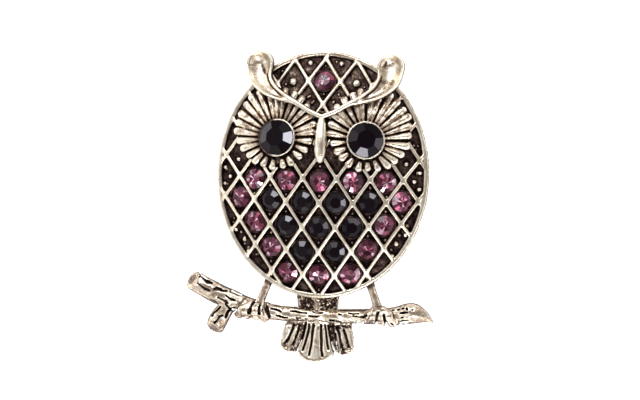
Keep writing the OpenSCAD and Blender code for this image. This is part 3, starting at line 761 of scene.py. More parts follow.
def add_ray(field, side, k, rng):
    """One ray from the bezel to the circle of tips, with a round end and on some a nick"""
    angle = 2 * math.pi * (k + 0.5 + rng.uniform(-0.12, 0.12)) / RAYS
    reach = RAY_REACH - RAY_W / 2 + rng.uniform(-0.2, 0.12)
    tip = RAY_CENTRE + reach * np.array([math.cos(angle), math.sin(angle)])
    way = tip - EYE
    way /= np.linalg.norm(way)
    down = max(-way[1], 0)
    foot = EYE + (EYE_D / 2 + SEAT_GAP + BEZEL_W + RAY_GAP + RAY_GAP_DOWN * down) * way
    width = RAY_W / 2 * rng.uniform(0.94, 1.06)
    slim = RAY_FOOT + RAY_FOOT_DOWN * down
    lift = RAY_UP + rng.uniform(-0.08, 0.08)
    flip = np.array([side, 1])
    p, q = foot * flip, tip * flip

    def ray(x, y, t):
        d, share = line_distance(x, y, p, q)
        half = slim + (width - slim) * share**0.7
        high = lift + 0.1 + 0.12 * smooth_step(share, 0.1, 0.9)
        return rounded(d - half, t - high + 0.34 * (d / half) ** 2, 0.16)

    def nick(x, y, t):
        u, v = (tip - rng.uniform(0.1, 1.8) * way) * flip
        return np.sqrt((x - u) ** 2 + (y - v) ** 2 + (t - lift - 0.3) ** 2) - NICK_R

    middle = (p + q) / 2
    field.add(ray, 0.04, middle, np.linalg.norm(q - p) / 2 + 0.9)
    if rng.uniform() < 0.5 and way[1] > 0:
        field.cut(nick, 0.08, tip * flip, 2.6)


def beak_shape(x, y, t):
    """Long drop that hangs from the middle of the brow, in the dome's own heights"""
    d = FAR
    rows = smooth_path(BEAK, 16)
    for p, q in zip(rows, rows[1:]):
        side, share = line_distance(x, y, np.array([0, p[0] * B]), np.array([0, q[0] * B]))
        r = BEAK_R * (p[1] + (q[1] - p[1]) * share)
        high = p[2] + (q[2] - p[2]) * share - r
        d = np.minimum(d, np.hypot(side, np.maximum(t - high, 0)) - r)
    return d


def make_face():
    """Rays and bezels round both eyes, and the beak, on a thin skin over the dome's floor"""
    wide = RAY_CENTRE[0] + RAY_REACH + MARGIN
    low, high = RAY_CENTRE[1] - RAY_REACH - MARGIN, RAY_CENTRE[1] + RAY_REACH + MARGIN
    field = Field((-wide, low, FACE_Z[0]), (wide, high, FACE_Z[1]), bent=True)
    rng = np.random.default_rng(11)
    skin_r = RAY_REACH - RAY_W * 0.8
    field.add(lambda x, y, t: rounded(from_rays(x, y) - skin_r, t + SKIN_DOWN, 0.15), 0.01)
    for side in (-1, 1):
        for k in range(RAYS):
            add_ray(field, side, k, rng)
    for side in (-1, 1):
        add_cup(field, EYE * (side, 1), EYE_D, BEZEL_W, BEZEL_UP, EYE_SIT)
    field.add(beak_shape, 0.12, (0, 0.3 * B), 5.5)
    field.cut(lambda x, y, t: t + RIB_H + 0.25, 0.02)
    field.cut(lambda x, y, t: -oval_distance(x, y) - 0.3, 0.1)
    fine = Noise(8)

    def cast(x, y, t):
        beak = smooth_step(abs(x), 0.9, 1.2)
        return beak * (0.035 * fine(x * 2.5, y * 2.5, t * 2.5) + 0.02 * fine(x * 6, y * 6, t * 6))

    field.roughen(cast, 0.06)

    def patina_and_shade(points, normals):
        x, y, t = points.T
        from_eye = np.hypot(abs(x) - EYE[0], y - EYE[1])
        bezel = EYE_D / 2 + SEAT_GAP + BEZEL_W + 0.1
        beak = 1 - smooth_step(abs(x), 1.05, 1.25)
        depth = (0.68 + 0.26 * fine(x * 1.5, y * 1.5, 4)) * smooth_step(-t, -0.2, 0.12)
        most = 0.2 + 0.16 * smooth_step(y, EYE[1], EYE[1] + 2)
        wear_and_shade = most * smooth_step(fine(x * 1.6, y * 1.6), -0.1, 0.4)
        wear_and_shade = np.maximum(wear_and_shade, 0.36 * (1 - smooth_step(from_eye, bezel, bezel + 2))) * (from_eye > bezel)
        # Painted shade on the outer side of the left eye's bezel
        hidden = smooth_step(-x - EYE[0], 0, 1.5) * (from_eye < bezel)
        # Painted shade on the lower right side of the beak
        low_right = smooth_step(x, 0, 0.45) * (1 - smooth_step(y, 0.25 * B, 0.36 * B))
        wear_and_shade = np.maximum(np.maximum(wear_and_shade * (1 - beak), 0.6 * hidden), 0.24 * beak * low_right)
        # Steep sides and places hidden by metal in front get patina and painted shade
        steep = steep_patina_and_shade(normals, 0.8) * (1 - 0.45 * beak)
        return np.maximum(np.maximum(depth, wear_and_shade), steep) + 0.35 * field.shelter(points, normals)

    return field.solid("cast_face", 0.004, patina_and_shade)


# Brow and ears

def brow_line():
    """Rows of x, y, radius and height along the right brow and ear"""
    x, y, r, z = smooth_path(EAR, 40).T
    climb = EAR_TOP - EAR_R - BROW_Y
    return np.stack([x * EAR_X, BROW_Y + y * climb, r * EAR_R, RIM_TOP + z * DOME_RISE], 1)


def brow_shares(x, y):
    """For places on either side: distance out of the brow and ear, their radius and height there, and
    1 on the forehead's side of their middle line"""
    side = abs(x) + 0 * y
    outline = np.full(side.shape, FAR, np.float32)
    radius, height, inner = (np.zeros_like(outline) for _ in range(3))
    rows = brow_line()
    for p, q in zip(rows, rows[1:]):
        d, share = line_distance(side, y, p[:2], q[:2])
        r = p[2] + (q[2] - p[2]) * share
        nearer = d - r < outline
        outline = np.where(nearer, d - r, outline)
        radius = np.where(nearer, r, radius)
        height = np.where(nearer, p[3] + (q[3] - p[3]) * share, height)
        left = (q[0] - p[0]) * (y - p[1]) - (q[1] - p[1]) * (side - p[0]) > 0
        inner = np.where(nearer, left, inner)
    return outline, radius, height, inner


def ear_groove(outline, radius, inner):
    """1 in the groove inside the raised edge on the forehead's side"""
    inward = -outline - np.minimum(EAR_EDGE, 0.75 * radius)
    ends = smooth_step(radius, 0.55, 0.9) * (1 - smooth_step(radius, 1.75, 2.1))
    return hill(inward, 0.12, 0.17) * inner * ends


def make_ears():
    """Brow with two hollow-fronted ears, raised along their edges"""
    field = Field(*EAR_BOX)
    x, y, z = field.grid()
    outline, radius, height, inner = brow_shares(x, y)
    edge = np.minimum(EAR_EDGE, 0.75 * radius)
    inward = np.maximum(-outline, 0)
    bead = np.clip(1 - (2 * inward / edge - 1) ** 2, 0, 1)
    within = np.clip((inward - edge) / np.maximum(radius - edge, 0.05), 0, 1)
    scoop = (0.1 + EAR_SCOOP * smooth_step(radius, 0.5, 2.0)) * (1 - (1 - within) ** 2)
    scoop += EAR_GROOVE * ear_groove(outline, radius, inner)
    ridged = smooth_step(radius, 0.5, 0.85)
    fall = radius - np.sqrt(np.maximum(radius**2 - (radius - inward) ** 2, 0))
    top = height - (1 - ridged) * 0.8 * fall + ridged * (EAR_BEAD * bead - EAR_SINK - scoop)
    shape = smooth_max(outline, z - top, 0.18)
    field.d = smooth_max(shape, height - EAR_T - z, 0.2).astype(np.float32)
    field.roughen(lambda x, y, z: 0.015 * Noise(9)(x * 1.5, y * 1.5, z * 1.5), 0.03)
    blotch = Noise(10)

    def patina_and_shade(points, normals):
        x, y = points[:, 0], points[:, 1]
        outline, radius, _, inner = brow_shares(x, y)
        groove = 0.85 * ear_groove(outline, radius, inner)
        hollow = smooth_step(-outline, 0.5, 0.9) * smooth_step(radius, 0.8, 1.2)
        # Stains and painted dark reflections and shade in the hollows
        patches = stain_shade(x, y, EAR_STAINS_AND_SHADE) * (0.9 + 0.5 * blotch(x * 2, y * 2))
        cloud = 0.25 * smooth_step(blotch(x * 0.55, y * 0.55), -0.1, 0.4)
        # Steep sides and places hidden by metal in front get patina and painted shade
        dark = np.maximum(np.maximum(groove, hollow * np.maximum(cloud, patches)), steep_patina_and_shade(normals))
        return np.maximum(dark, field.shelter(points, normals) * 0.7)

    return field.solid("cast_ears", 0.003, patina_and_shade)


# Branch, legs and feet

def limb_places(sections, count):
    """Rows of x, y and radius along a limb"""
    rows = smooth_path(sections, count)
    reach = np.where(rows[:, 0] < 0, BRANCH_LEFT, BRANCH_RIGHT)
    return np.stack([rows[:, 0] * reach, -rows[:, 1] * BRANCH_DROP, rows[:, 2] * BRANCH_R], 1)


def add_limb(field, sections, count, noise):
    """Limb of as many stretches as count, with long low waves of bark along it"""
    rows = limb_places(sections, count)
    start = 0.0
    for p, q in zip(rows, rows[1:]):
        a, b = p[:2], q[:2]
        length = np.linalg.norm(b - a)
        along = (b - a) / length

        def stretch(x, y, z):
            d, share = line_distance(x, y, a, b)
            s = start + (x - a[0]) * along[0] + (y - a[1]) * along[1]
            v = (y - a[1]) * along[0] - (x - a[0]) * along[1]
            w = z - BRANCH_Z
            bend = 0.3 * noise(s * 0.6, v * 0.5, w * 0.5 + 9)
            wave = BARK_WAVE * noise(s * 0.55, (v + bend) * 1.8, w * 1.8)
            return np.hypot(d, w) - p[2] - (q[2] - p[2]) * share - wave

        field.add(stretch, 0.08, (a + b) / 2, length / 2 + max(p[2], q[2]) + 0.7)
        start += length


def sawn_end(sections, lean):
    """For the first end of a limb that is sawn off flat: its place, and a function for how far places
    lie beyond the cut; lean is how far the cut faces up"""
    rows = limb_places(sections, 20)
    out = rows[0][:2] - rows[1][:2]
    out = np.append(out / np.linalg.norm(out) * math.cos(lean), math.sin(lean))
    base = np.append(rows[0][:2], BRANCH_Z)

    def beyond(x, y, z):
        return (x - base[0]) * out[0] + (y - base[1]) * out[1] + (z - base[2]) * out[2]

    return base, beyond


def stick(p, q, r, s):
    """Round rod from p to q whose radius goes from r to s"""
    p, q = np.array(p, float), np.array(q, float)
    way = q - p

    def shape(x, y, z):
        share = ((x - p[0]) * way[0] + (y - p[1]) * way[1] + (z - p[2]) * way[2]) / (way @ way)
        share = np.clip(share, 0, 1)
        gap = [c - o - share * w for c, o, w in zip((x, y, z), p, way)]
        return np.sqrt(gap[0] ** 2 + gap[1] ** 2 + gap[2] ** 2) - (r + (s - r) * share)

    return shape


def add_leg(field, leg):
    """Leg from under the body to the branch, and toes that grip the branch"""
    (hip_x, hip_y), (ankle_x, ankle_y), set_out = leg
    hip = [hip_x * A, -hip_y * BRANCH_DROP, BACK_Z + LEG_R]
    ankle = [ankle_x * A, -ankle_y * BRANCH_DROP, BRANCH_Z + ANKLE_UP]
    narrow = [(p + q) / 2 for p, q in zip(hip, ankle)]
    high_r, narrow_r, low_r = [LEG_R * share for share in LEG_SHARES]
    field.add(stick(hip, narrow, high_r, narrow_r), LEG_FILLET, hip[:2], 6.5)
    field.add(stick(narrow, ankle, narrow_r, low_r), LEG_FILLET, hip[:2], 6.5)
    x = ankle[0] + set_out * FOOT_W
    for low, high, share in TOES:
        r = TOE_R * share * TOE_SWELL
        top = [(ankle[0] + x) / 2 + low * FOOT_W, ankle[1] - 0.1, ankle[2]]
        knuckle = [x + (low + high) / 2 * FOOT_W, ankle[1] - KNUCKLE_DROP, BRANCH_Z + KNUCKLE_UP]
        end = [x + high * FOOT_W, ankle[1] - TIP_DROP - 0.5 * high, BRANCH_Z + TIP_UP]
        field.add(stick(top, knuckle, TOE_R * 0.95, r), LEG_FILLET, ankle[:2], 4.8)
        field.add(stick(knuckle, end, r, r), LEG_FILLET, ankle[:2], 4.8)


def make_branch():
    """Branch with its side twig, leaf-shaped tip, legs and feet"""
    field = Field(*BRANCH_BOX)
    add_limb(field, BRANCH, 70, Noise(21))
    add_limb(field, TWIG, 14, Noise(22))
    ends = [sawn_end(BRANCH, BRANCH_LEAN), sawn_end(TWIG[::-1], TWIG_LEAN)]
    for base, beyond in ends:
        field.cut(lambda x, y, z: -beyond(x, y, z), 0.4, base[:2], 2.6)
    for leg in LEGS:
        add_leg(field, leg)
    field.roughen(lambda x, y, z: 0.025 * Noise(23)(x * 3, y * 3, z * 3), 0.03)
    field.carve(SLITS, depth=0.4, blend=0.08, lip=0.05)
    field.cut(lambda x, y, z: z, 0.1)
    blotch = Noise(24)

    def patina_and_shade(points, normals):
        x, y, z = points.T
        wear_and_shade = 0.27 + 0.16 * blotch(x * 0.9, y * 1.4, z * 0.5)
        wear_and_shade = wear_and_shade * (1 - lip_shade(x, y, SLITS))
        marks = np.maximum(SLIT_DARK * slit_shade(x, y, SLITS), stain_shade(x, y, STAINS_AND_SHADOW)) * (z > 0.9)
        for base, beyond in ends:
            past = beyond(x, y, z)
            across = np.sqrt(np.maximum(((points - base) ** 2).sum(1) - past**2, 0))
            disc = smooth_step(past, -0.3, -0.1) * (1 - smooth_step(across, 0.7, 1.25))
            marks = np.maximum(marks, END_DARK * disc)
        # Painted shade on the legs' tops, where they pass under the rim
        marks = np.maximum(marks, HIP_SHADE * (1 - smooth_step(oval_distance(x, y), 0.2, 1.2)))
        # Steep sides and places hidden by metal in front get patina and painted shade
        dark = np.maximum(np.maximum(marks, wear_and_shade), steep_patina_and_shade(normals, 0.8, 0.2, 0.82))
        return np.maximum(dark, 0.8 * field.shelter(points, normals))

    return field.solid("cast_branch", 0.003, patina_and_shade)


# Tail

def feather(row):
    """One feather: a plate with a round end, a little crowned between its grooves"""
    top_x, end_x, length, top_half, half, round_end, thick = row
    end_r = half * TAIL_W
    p = np.array([top_x * TAIL_W, -BRANCH_DROP])
    q = np.array([end_x * TAIL_W, -BRANCH_DROP - length * TAIL_L + end_r * round_end])
    reach = np.linalg.norm(q - p)
    way = (q - p) / reach

    def shape(x, y, z):
        share = ((x - p[0]) * way[0] + (y - p[1]) * way[1]) / reach
        v = (y - p[1]) * way[0] - (x - p[0]) * way[1]
        beyond = (share - 1) * reach
        wide = end_r * (top_half / half + (1 - top_half / half) * smooth_step(share, -0.1, 0.9))
        side = np.where(beyond > 0, np.hypot(v, beyond / round_end) - wide, np.abs(v) - wide)
        outline = np.maximum(side, -share * reach - 0.3)
        nearest = np.min([path_distance(x, y, path) for path in GROOVES], axis=0)
        hollow = 0.28 * (1 - np.clip(nearest / 0.5, 0, 1)) ** 2
        fall = 0.3 * smooth_step(beyond, 0, end_r) + hollow + 0.3 * smooth_step(share, 0.2, 1)
        return smooth_max(outline, z - thick * TAIL_T + fall, 0.3)

    return shape


def make_tail():
    """Stem behind the branch and three ridged feathers below it, joined by a thin web"""
    field = Field(*TAIL_BOX)
    (left, _, _, left_half, *_), (right, _, _, right_half, *_) = FEATHERS[:2]

    def stem(x, y, z):
        bulge = 0.25 * ((y + 20.3) / 1.6) ** 2
        side = np.abs(x - STEM_X) - STEM_GAP - STEM_R - np.minimum(bulge, 0.4)
        ends = np.maximum(y - STEM_TOP, -y - BRANCH_DROP)
        middle = STEM_RIDGE * hill(x, STEM_X, 0.6)
        return rounded(np.maximum(side, ends), z - STEM_T - middle, 0.3)

    def web(x, y, z):
        across = np.maximum((left - left_half / 2) * TAIL_W - x, x - (right + right_half / 2) * TAIL_W)
        ends = np.maximum(y + BRANCH_DROP, -y - BRANCH_DROP - WEB_REACH)
        return rounded(np.maximum(across, ends), z - WEB_T, 0.2)

    for shape in (stem, web, *[feather(row) for row in FEATHERS]):
        field.add(shape, 0.05)
    rough = Noise(31)

    def specks(x, y):
        return 0.8 * rough(x * 3.4, y * 3.4) + 0.8 * rough(x * 6, y * 6, 5)

    def cast(x, y, z):
        stem = smooth_step(y, -21.5, -20.8)
        low = np.maximum(1 - smooth_step(z, 0.8, 1.05), 0.8 * smooth_step(y, -25, -23.2))
        return 0.13 * np.maximum(stem, low) * specks(x, y) + 0.02 * rough(x * 5, y * 1.5, z * 5)

    field.roughen(cast, 0.2)
    field.carve(GROOVES, depth=0.45, blend=0.1, lip=0.03)
    field.cut(lambda x, y, z: z, 0.1)

    def patina_and_shade(points, normals):
        x, y, z = points.T
        shade = 0.85 - 0.55 * hill(x, STEM_X, 0.55) - 0.35 * hill(x, -3.3, 0.4)
        stem = smooth_step(y, -22.2, -21.2) * shade
        low = 0.7 * (1 - smooth_step(z, 0.85, 1.1)) * (z > 0.3) * (y < -21)
        wear_and_shade = np.maximum(np.maximum(stem, low), stain_shade(x, y, TAIL_STAINS) * (z > 0.4))
        wear_and_shade = wear_and_shade - 0.65 * smooth_step(specks(x, y), 0.2, 0.5) * (wear_and_shade > 0.45)
        wear_and_shade = np.maximum(wear_and_shade, 0.14 * rough(x * 1.5, y * 0.6, 9))
        wear_and_shade = np.maximum(wear_and_shade, GROOVE_DARK * slit_shade(x, y, GROOVES) * (z > 0.4))
        # Steep sides and places hidden by metal in front get patina and painted shade
        wear_and_shade = np.maximum(wear_and_shade, steep_patina_and_shade(normals, 0.5, 0.2, 0.7))
        return np.maximum(wear_and_shade, 0.8 * field.shelter(points, normals))

    return field.solid("cast_tail", 0.004, patina_and_shade)


# Stones: sizes as shares of the diameter, and the number of crown facets and of steps in each one's arc

TABLE_SHARE = 0.56
CROWN_SHARE = 0.17
GIRDLE_SHARE = 0.03
PAVILION_SHARE = 0.34
FACETS = 8
FACET_ANGLE = 2 * math.pi / FACETS
ARC_STEPS = 4
# How far the foil leans below the girdle and the pavilion, in radians, and the tone of both
GIRDLE_LEAN = 1.2
PAVILION_LEAN = 2.2
UNDER_TONE = 0.3
# Eye stones: name, turn in degrees, and how bright each crown facet's painted reflection is, counted from
# the right
EYE_LOOKS = [
    ("left_eye_stone", 0, (0.96, 0.2, 0.1, 0.75, 0.8, 0.45, 0.1, 0.2)),
    ("right_eye_stone", -13, (0.72, 0.3, 0.1, 0.15, 0.5, 0.4, 0.92, 0.3)),
]


def make_stone(name, place, d, sit, turn, crown_tones, rng):
    """Round cut stone with an eight-sided table and flat crown facets that meet a thin girdle.
    Each face has a tone, which paints how bright its reflection looks, and the slope of the foil that it
    shows below the glass. A stone without foil has a dark table and the crown tones given."""
    radius = d / 2
    rim = TABLE_SHARE * radius
    flat = rim * math.cos(FACET_ANGLE / 2)
    crown = CROWN_SHARE * d
    fall = crown / (radius * math.cos(FACET_ANGLE / 2) - flat) * 0.8
    points, faces, tones, foils = [], [], [], []

    def spot(r, angle, z):
        points.append((r * math.cos(angle + turn), r * math.sin(angle + turn), z))
        return len(points) - 1

    def face(corners, tone, angle, lean):
        faces.append(corners)
        tones.append(tone)
        flat, way = math.sin(lean), angle + turn
        foils.append((flat * math.cos(way), flat * math.sin(way), math.cos(lean)))

    middle = spot(0, 0, crown)
    table = [spot(rim, (k - 0.5) * FACET_ANGLE, crown) for k in range(FACETS)]
    mids = [spot(flat, k * FACET_ANGLE, crown) for k in range(FACETS)]
    girdle, under = [], []
    for k in range(FACETS):
        for m in range(ARC_STEPS):
            off = (m / ARC_STEPS - 0.5) * FACET_ANGLE
            height = crown - fall * (radius * math.cos(off) - flat)
            girdle.append(spot(radius, k * FACET_ANGLE + off, height))
            under.append(spot(radius, k * FACET_ANGLE + off, -GIRDLE_SHARE * d))
    ring = len(girdle)
    for k in range(FACETS):
        angle = k * FACET_ANGLE
        turned = FACET_ANGLE / 4
        for side, corner in ((-1, table[k]), (1, table[(k + 1) % FACETS])):
            bright = rng.uniform(0, 1) if crown_tones is None else 0
            order = [middle, corner, mids[k]] if side < 0 else [middle, mids[k], corner]
            face(order, bright, angle + side * turned + rng.uniform(-0.2, 0.2), -rng.uniform(0.2, 0.55))
        arc = [girdle[(k * ARC_STEPS + m) % ring] for m in range(ARC_STEPS + 1)]
        half = ARC_STEPS // 2
        low, high = rng.uniform(0, 1, 2) if crown_tones is None else (crown_tones[k],) * 2
        face([table[k], *arc[: half + 1], mids[k]], low, angle - turned, rng.uniform(0.1, 0.6))
        face([mids[k], *arc[half:], table[(k + 1) % FACETS]], high, angle + turned, rng.uniform(0.1, 0.6))
    culet = spot(0, 0, -(GIRDLE_SHARE + PAVILION_SHARE) * d)
    for m in range(ring):
        n = (m + 1) % ring
        angle = (m / ARC_STEPS - 0.5) * FACET_ANGLE
        face([girdle[m], under[m], under[n], girdle[n]], UNDER_TONE, angle, GIRDLE_LEAN)
        face([under[m], culet, under[n]], UNDER_TONE, angle, PAVILION_LEAN)

    axes = upright_axes(*place)
    base = np.array([*place, dome_top(*place)]) + sit * axes[2] + CENTRE
    mesh = bpy.data.meshes.new(name)
    mesh.from_pydata([tuple(p) for p in (np.array(points) @ axes + base) * MM], [], faces)
    mesh.update()
    mesh.attributes.new("tone", "FLOAT", "FACE").data.foreach_set("value", tones)
    foil = mesh.attributes.new("foil", "FLOAT_VECTOR", "FACE")
    foil.data.foreach_set("vector", (np.array(foils) @ axes).ravel())
    return put(name.replace("stone", "gem"), mesh)


# Materials

PALE_GOLD = (0.87, 0.81, 0.71)
DULL_GOLD = (0.70, 0.61, 0.48)
PIN_GOLD = (0.62, 0.53, 0.34)
PIN_GOLD_PALE = (0.80, 0.71, 0.50)
# Colours of the patina and the painted shade, each with the span of darkness over which it covers the one
# before
PATINA_AND_SHADE = [
    (0.05, 0.35, (0.40, 0.30, 0.22)),
    (0.3, 0.6, (0.085, 0.058, 0.048)),
    (0.6, 0.85, (0.034, 0.020, 0.018)),
    (0.85, 1.05, (0.008, 0.004, 0.004)),
]
DEEP_PURPLE = (0.045, 0.003, 0.011)
PURPLE = (0.18, 0.038, 0.075)
PINK_SPARK = (0.62, 0.42, 0.51)
BLACK = (0.004, 0.002, 0.0035)
GREY_SHEEN = (0.07, 0.06, 0.07)
GREY_SPARK = (0.5, 0.5, 0.56)
WHITE = (1, 1, 1)
# The Mix node's colour sockets, by number, since its other kinds of socket have the same names
MIX_A, MIX_B, MIX_RESULT = 6, 7, 2


class Nodes:
    """Short ways to make the shader nodes of a material or world; sizes of noise are in millimetres"""

    def __init__(self, owner):
        owner.use_nodes = True
        self.owner = owner
        self.tree = owner.node_tree
        self.places = self.tree.nodes.new("ShaderNodeTexCoord").outputs

    def fill(self, node, inputs):
        """Links or sets the inputs of a node, given by name or number"""
        for key, value in inputs.items():
            socket = node.inputs[key]
            if isinstance(value, bpy.types.NodeSocket):
                self.tree.links.new(value, socket)
            elif socket.type == "RGBA":
                socket.default_value = (*value, 1)
            else:
                socket.default_value = value

    def add(self, kind, inputs, **settings):
        node = self.tree.nodes.new("ShaderNode" + kind)
        for key, value in settings.items():
            setattr(node, key, value)
        self.fill(node, inputs)
        return node.outputs

    def noise(self, size, detail=2.0, stretch=(1, 1, 1)):
        scale = [s / (size * MM) for s in stretch]
        place = self.add("Mapping", {"Vector": self.places["Object"], "Scale": scale})["Vector"]
        return self.add("TexNoise", {"Vector": place, "Scale": 1, "Detail": detail})["Fac"]

    def attribute(self, name, kind="Fac"):
        return self.add("Attribute", {}, attribute_name=name)[kind]

    def range(self, value, low, high, to_low=0.0, to_high=1.0, kind="LINEAR"):
        ends = {"From Min": low, "From Max": high, "To Min": to_low, "To Max": to_high}
        return self.add("MapRange", {"Value": value, **ends}, interpolation_type=kind)["Result"]

    def math(self, kind, a, b):
        return self.add("Math", {0: a, 1: b}, operation=kind)["Value"]

    def mix(self, share, a, b):
        """Colour between a and b"""
        return self.add("Mix", {"Factor": share, MIX_A: a, MIX_B: b}, data_type="RGBA")[MIX_RESULT]

    def bump(self, height, strength, distance, **below):
        inputs = {"Height": height, "Strength": strength, "Distance": distance * MM, **below}
        return self.add("Bump", inputs)["Normal"]

    def surface(self, **values):
        """The material, with these inputs of its shader"""
        inputs = {key.replace("_", " "): value for key, value in values.items()}
        self.fill(self.tree.nodes["Principled BSDF"], inputs)
        return self.owner


def antique_gold():
    """Pale rubbed gold on what stands proud, and near-black patina mixed with painted shade in what lies
    deep and on steep sides
    """
    n = Nodes(bpy.data.materials.new("antique_gold"))
    blotch = n.noise(0.9, 3)
    grain = n.noise(0.22, 3)
    layer = n.attribute("patina_and_shade")
    patchy = n.math("MULTIPLY", n.range(grain, 0.3, 0.7, -0.16, 0.16), n.range(layer, 0.0, 0.3, 0.25, 1.0))
    patina_and_shade = n.math("ADD", layer, patchy)
    colour = n.mix(n.range(blotch, 0.35, 0.7), DULL_GOLD, PALE_GOLD)
    for low, high, cover in PATINA_AND_SHADE:
        colour = n.mix(n.range(patina_and_shade, low, high), colour, cover)
    rough = n.range(grain, 0.3, 0.7, 0.24, 0.36)
    rough = n.math("ADD", rough, n.math("MULTIPLY", n.range(patina_and_shade, 0.3, 0.6), 0.22))
    normal = n.bump(grain, 0.4, 0.02, Normal=n.bump(n.noise(0.35, 2), 0.35, 0.03))
    return n.surface(Base_Color=colour, Metallic=1.0, Roughness=rough, Normal=normal)


def plain_gold():
    """The same metal without patina, for the hidden pin"""
    n = Nodes(bpy.data.materials.new("pin_gold"))
    colour = n.mix(n.range(n.noise(1.2, 3), 0.35, 0.7), PIN_GOLD, PIN_GOLD_PALE)
    rough = n.range(n.noise(0.3, 3), 0.3, 0.7, 0.24, 0.4)
    normal = n.bump(n.noise(0.2, 2, (0.15, 1, 1)), 0.3, 0.02)
    return n.surface(Base_Color=colour, Metallic=1.0, Roughness=rough, Normal=normal)


def purple_glass():
    """Purple glass over foil: the foil's facets show below a clear polished coat, and each facet's tone
    paints how bright its reflection looks, up to a painted pink glint
    """
    n = Nodes(bpy.data.materials.new("purple_glass"))
    tone = n.math("ADD", n.attribute("tone"), n.range(n.noise(0.5, 2), 0.3, 0.7, -0.12, 0.12))
    colour = n.mix(n.range(tone, 0.2, 0.85), DEEP_PURPLE, PURPLE)
    colour = n.mix(n.range(tone, 0.78, 0.97), colour, PINK_SPARK)
    return n.surface(
        Base_Color=colour, Metallic=0.85, Roughness=0.22, Normal=n.attribute("foil", "Vector"),
        Coat_Weight=0.4, Coat_Roughness=0.03, Coat_IOR=1.55,
    )


def black_glass():
    """Black glass whose facets are dark, but for a few that catch a light"""
    n = Nodes(bpy.data.materials.new("black_glass"))
    tone = n.attribute("tone")
    colour = n.mix(n.range(tone, 0.4, 0.88), BLACK, GREY_SHEEN)
    colour = n.mix(n.range(tone, 0.9, 0.96), colour, GREY_SPARK)
    rough = n.range(n.noise(0.6, 2), 0.3, 0.7, 0.02, 0.07)
    return n.surface(Base_Color=colour, Roughness=rough, IOR=1.5, Specular_IOR_Level=0.1)


def pale_floor():
    """White paper lit from below, so that shadows stay faint"""
    n = Nodes(bpy.data.materials.new("floor_paper"))
    colour = n.mix(n.noise(8, 2), (0.93, 0.93, 0.93), (0.95, 0.95, 0.95))
    return n.surface(Base_Color=colour, Roughness=0.85, Emission_Color=WHITE, Emission_Strength=0.75)


# Stage: millimetres for each pixel, the picture's size, the body's centre in it, the camera's angle and
# lens, and the floor's half width in metres

PIXEL = 0.155
FRAME_W, FRAME_H = 640, 400
BODY_PIXEL = (322.6, 174.6)
LEAN_DEG = 7.0
ROLL_DEG = 1.85
LENS = 200.0
SENSOR = 36.0
FLOOR_HALF = 1.5
# Soft boxes: name, compass direction and height in degrees, width and depth in metres
SOFT_BOXES = [("box_top", 100, 48, 0.30, 0.12), ("box_low", -75, 42, 0.25, 0.12)]
BOX_DISTANCE = 0.5
BOX_WATTS = 1.0
# Surroundings: fineness of the panels, light of gaps and panels, and its share when low and overhead
PANELS = 1.9
PANEL_LIGHT = (0.4, 1.7)
SKY_LIGHT = (1.1, 0.42)


def make_camera():
    """Looks down on the brooch from the photo's angle: a little from the right, slightly turned"""
    lean, roll = math.radians(LEAN_DEG), math.radians(ROLL_DEG)
    back = Vector((math.sin(lean), 0, math.cos(lean)))
    flat = Vector((math.cos(lean), 0, -math.sin(lean)))
    north = Vector((0, 1, 0))
    right = flat * math.cos(roll) + north * math.sin(roll)
    up = north * math.cos(roll) - flat * math.sin(roll)
    target = Vector(CENTRE) + Vector((0, 0, RIM_TOP))
    target += right * (FRAME_W / 2 - BODY_PIXEL[0]) * PIXEL
    target -= up * (FRAME_H / 2 - BODY_PIXEL[1]) * PIXEL
    far = FRAME_W * PIXEL * LENS / SENSOR
    data = bpy.data.cameras.new("camera")
    data.lens = LENS
    data.sensor_width = SENSOR
    data.clip_start = 0.01
    data.clip_end = 20
    camera = put("camera", data)
    turn = Matrix((right, up, back)).transposed().to_4x4()
    camera.matrix_world = Matrix.Translation((target + back * far) * MM) @ turn
    bpy.context.scene.camera = camera


def soft_box(name, azimuth, elevation, width, depth):
    """Area light that faces the brooch"""
    az, el = math.radians(azimuth), math.radians(elevation)
    way = Vector((math.cos(az) * math.cos(el), math.sin(az) * math.cos(el), math.sin(el)))
    data = bpy.data.lights.new(name, "AREA")
    data.shape = "RECTANGLE"
    data.size = width
    data.size_y = depth
    data.energy = BOX_WATTS
    light = put(name, data)
    light.location = Vector(CENTRE) * MM + way * BOX_DISTANCE
    light.rotation_mode = "QUATERNION"
    light.rotation_quaternion = way.to_track_quat("Z", "Y")


def make_studio():
    """Surroundings of soft white panels with dark gaps, dimmer overhead where the camera is"""
    n = Nodes(bpy.data.worlds.new("studio"))
    way = n.places["Generated"]
    height = n.add("SeparateXYZ", {"Vector": way})["Z"]
    panels = n.add("TexNoise", {"Vector": way, "Scale": PANELS, "Detail": 0.5})["Fac"]
    panels = n.range(panels, 0.44, 0.56, *PANEL_LIGHT, "SMOOTHSTEP")
    overhead = n.range(height, 0.65, 0.97, *SKY_LIGHT, "SMOOTHSTEP")
    strength = n.math("MULTIPLY", panels, overhead)
    n.fill(n.tree.nodes["Background"], {"Strength": strength, "Color": WHITE})
    bpy.context.scene.world = n.owner


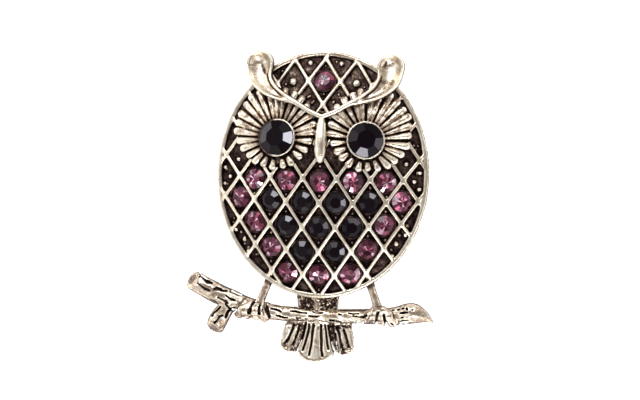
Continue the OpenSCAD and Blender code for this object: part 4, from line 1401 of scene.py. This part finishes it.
def make_stage():
    """Pale floor, soft boxes and a pale surrounding"""
    mesh = bpy.data.meshes.new("floor")
    corners = [(x * FLOOR_HALF, y * FLOOR_HALF, 0) for x, y in ((-1, -1), (1, -1), (1, 1), (-1, 1))]
    mesh.from_pydata(corners, [], [(0, 1, 2, 3)])
    floor = put("floor", mesh)
    floor.data.materials.append(pale_floor())
    for box in SOFT_BOXES:
        soft_box(*box)
    make_studio()
    bpy.context.scene.view_settings.view_transform = "Standard"


def black_tones(turn, rng):
    """Tones of a black stone's crown facets: dark, but for one that catches the light at the right or
    at the top"""
    tones = rng.uniform(0, 1, FACETS) ** 2 * 0.65
    lit = math.radians(rng.uniform(-25, 100))
    tones[round((lit - turn) / FACET_ANGLE) % FACETS] = rng.uniform(0.9, 0.94)
    return tones


def dress(frame):
    """Builds every visible piece and gives it its place and material"""
    gold = antique_gold()
    for piece in (make_body(), make_face(), make_ears(), make_branch(), make_tail()):
        piece.data.materials.append(gold)
        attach(piece, "root")
        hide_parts("owl_casting")
    purple, black = purple_glass(), black_glass()
    rng = np.random.default_rng(41)
    gems = []
    for name, place, letter in stones():
        turn = rng.uniform(0, math.pi / 4)
        tones = None if letter == "p" else black_tones(turn, rng)
        gems.append((make_stone(name, place, STONE_D, STONE_SIT, turn, tones, rng), name, letter))
    for side, (name, turn, tones) in zip((-1, 1), EYE_LOOKS):
        place = EYE * (side, 1)
        gems.append((make_stone(name, place, EYE_D, EYE_SIT, math.radians(turn), tones, rng), name, "k"))
    for piece, name, letter in gems:
        piece.data.materials.append(purple if letter == "p" else black)
        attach(piece, "root")
        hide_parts(name)
    pin = frame["nodes"]["pin_back"]
    pin.data.materials.clear()
    pin.data.materials.append(plain_gold())


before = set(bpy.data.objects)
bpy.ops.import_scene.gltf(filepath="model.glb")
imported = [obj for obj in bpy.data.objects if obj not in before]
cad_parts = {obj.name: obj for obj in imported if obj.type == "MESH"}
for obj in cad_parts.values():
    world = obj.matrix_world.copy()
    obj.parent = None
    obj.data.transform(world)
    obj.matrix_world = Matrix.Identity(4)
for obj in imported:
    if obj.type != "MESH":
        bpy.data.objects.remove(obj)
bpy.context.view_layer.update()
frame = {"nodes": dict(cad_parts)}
dress(frame)
make_stage()
make_camera()
